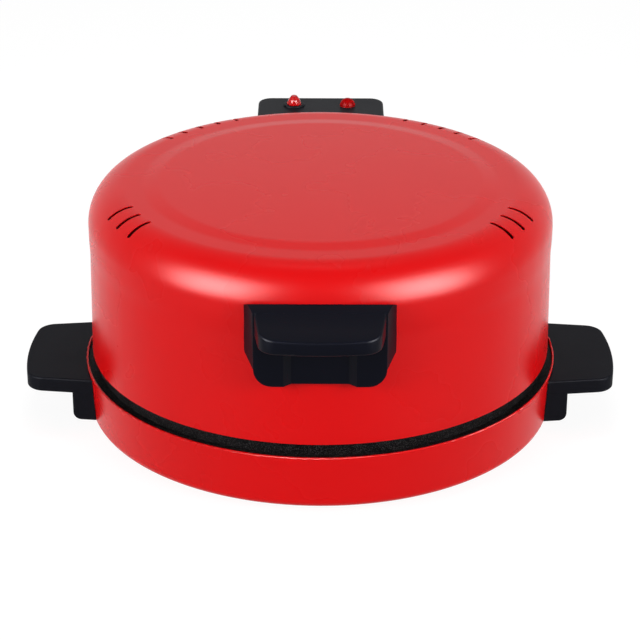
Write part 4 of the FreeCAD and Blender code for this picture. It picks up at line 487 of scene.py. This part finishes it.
bmesh.ops.delete(shape, geom=[face for face in shape.faces if in_a_vent(face)], context="FACES")
for vert in [vert for vert in shape.verts if vert.is_boundary and vert.co.z > LID_PROFILE[2][1]]:
    onward = [side for side in vert.link_edges if not side.is_boundary]
    on_middle = min(abs(math.degrees(math.atan2(vert.co.y, vert.co.x)) % 360 - angle) for angle in vents) < half_vent / 2
    if on_middle and len(onward) == 1:
        along = onward[0].other_vert(vert).co - vert.co
        vert.co += along.normalized() * VENT_END
lid = smooth_piece("lid_shell_pressing", shape, "lid", red_enamel, 60)
wall = lid.modifiers.new("wall", "SOLIDIFY")
wall.thickness = LID_WALL
wall.offset = -1.0
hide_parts("lid_shell")


# Lid liner, upper element and its hangers
# The bright inner skin closes on the plate's rim. The upper element hangs under it from three riveted tabs.

dress(aluminised, "lid_liner", "upper_element_hangers")
dress(sheath, "upper_element")
dress(ceramic, "upper_element_terminals")
dress(zinc, "hanger_rivets")


# Lid handle
# A black moulding screwed to the front of the lid: a backing block with a recessed panel, and a shelf to lift by
# that slopes down to its bowed front edge. All its edges in front of the recess are soft.

RECESS_BACK = -0.1845
SOFT_EDGE = 0.0010
FLAT = math.radians(0.5)
EDGE_FROM = math.radians(28.0)

grip_black = finish("grip_black", ((0.0012, 0.0016, 0.0052, 1), (0.0009, 0.0012, 0.0042, 1)), (30.0, 2200.0),
                    (0.30, 0.37), 0.00003, 0.05)
shape = bmesh.new()
shape.from_mesh(nodes["lid_handle"].data)
bmesh.ops.remove_doubles(shape, verts=shape.verts[:], dist=0.00002)
bmesh.ops.dissolve_limit(shape, angle_limit=FLAT, use_dissolve_boundaries=False, verts=shape.verts[:],
                         edges=shape.edges[:])
corners = [side for side in shape.edges if side.is_manifold and side.calc_face_angle(0.0) > EDGE_FROM
           and min(end.co.y for end in side.verts) < RECESS_BACK]
bmesh.ops.bevel(shape, geom=corners, offset=SOFT_EDGE, offset_type="OFFSET", segments=3, profile=0.5,
                affect="EDGES", clamp_overlap=True, material=-1)
grip = smooth_piece("lid_handle_moulding", shape, "lid", grip_black, 35)
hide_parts("lid_handle")
dress(zinc, "lid_handle_screws")


# Upper hinge housing
# A black moulded box behind the lid, screwed through the lid's wall. Its lower edge is the hinge barrel.

dress(housing_black, "upper_hinge_housing")
dress(zinc, "upper_housing_screws")


# Pilot lamps
# The left lamp is a faceted red lens in a black bezel, and the right one a plain red dome. Both clip into the
# housing's top over white lamp bodies.

LAMP_LEFT = -0.0228
LAMP_RIGHT = 0.0228
LENS_RINGS = ((0.0062, 0.0, 0.0), (0.0062, 0.0018, 0.0), (0.0060, 0.0026, 0.5), (0.0046, 0.0058, 0.0),
              (0.0024, 0.0086, 0.5))
LENS_SIDES = 10

dress(nylon, "heating_lamp_body", "ready_lamp_body")
bezel_low, bezel_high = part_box("heating_lamp_bezel")
lamp_y = (bezel_low.y + bezel_high.y) / 2
lamp_z = bezel_low.z
bezel_outer = (bezel_high.x - bezel_low.x) / 2
bezel_rise = bezel_high.z - bezel_low.z
lens_outer = LENS_RINGS[0][0]
bezel_profile = ((bezel_outer, 0.0), (bezel_outer, bezel_rise), (lens_outer, bezel_rise), (lens_outer, 0.0))
shape = profile_chain(bezel_profile, ((1, 0.0009, 4), (2, 0.0004, 3)))
bmesh.ops.spin(shape, geom=shape.verts[:] + shape.edges[:], cent=(0, 0, 0), axis=(0, 0, 1), angle=math.tau, steps=48,
               use_merge=True)
bmesh.ops.recalc_face_normals(shape, faces=shape.faces[:])
bmesh.ops.translate(shape, verts=shape.verts[:], vec=(LAMP_LEFT, lamp_y, lamp_z))
bezel = smooth_piece("heating_lamp_ring", shape, "lid", housing_black, 50)
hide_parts("heating_lamp_bezel")

red_lens = finish("red_lens", ((0.58, 0.001, 0.002, 1), (0.46, 0.0, 0.001, 1)), (300.0, 2500.0), (0.10, 0.14), 0.0, 0.16)
shape = bmesh.new()
rings = []
for radius, height, turn in LENS_RINGS:
    place = Matrix.Translation((0, 0, height)) @ Matrix.Rotation(math.tau * turn / LENS_SIDES, 4, "Z")
    ring = bmesh.ops.create_circle(shape, cap_ends=False, radius=radius, segments=LENS_SIDES, matrix=place)
    rings.append(ring["verts"])
for lower, upper in zip(rings, rings[1:]):
    sides = [side for side in shape.edges if all(end in lower for end in side.verts)
             or all(end in upper for end in side.verts)]
    bmesh.ops.bridge_loops(shape, edges=sides)
shape.faces.new(rings[-1])
bmesh.ops.recalc_face_normals(shape, faces=shape.faces[:])
bmesh.ops.triangulate(shape, faces=shape.faces[:])
bmesh.ops.translate(shape, verts=shape.verts[:], vec=(LAMP_LEFT, lamp_y, lamp_z))
lens = smooth_piece("heating_lamp_facets", shape, "lid", red_lens, 4)
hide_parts("heating_lamp_lens")

plain_lens = finish("plain_lens", ((0.36, 0.0, 0.0005, 1), (0.33, 0.0, 0.0005, 1)), (300.0, 2500.0), (0.35, 0.42), 0.0,
                    0.03)
dome_low, dome_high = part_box("ready_lamp_lens")
dome_radius = (dome_high.x - dome_low.x) / 2
dome_rise = dome_high.z - dome_low.z
shape = bmesh.new()
bmesh.ops.create_uvsphere(shape, u_segments=48, v_segments=24, radius=dome_radius)
bmesh.ops.bisect_plane(shape, geom=shape.verts[:] + shape.edges[:] + shape.faces[:], plane_co=(0, 0, 0),
                       plane_no=(0, 0, -1), clear_outer=True)
bmesh.ops.scale(shape, vec=(1.0, 1.0, dome_rise / dome_radius), verts=shape.verts[:])
bmesh.ops.translate(shape, verts=shape.verts[:], vec=(LAMP_RIGHT, lamp_y, dome_low.z))
dome = smooth_piece("ready_lamp_dome", shape, "lid", plain_lens, 60)
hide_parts("ready_lamp_lens")


# Sheen
# The enamelled, moulded and coated parts take the reflections of the two wide soft boxes. Bare metal, which would
# clip to white in them, reflects only the pale room.

COATED_NODES = ("base_shell", "cooking_plate", "side_handle_left", "side_handle_right", "lower_hinge_housing",
                "lower_housing_cover", "upper_hinge_housing", "cord_gland")

for piece in (lid, grip, bezel, lens, dome, *(nodes[name] for name in COATED_NODES)):
    coated.objects.link(piece)
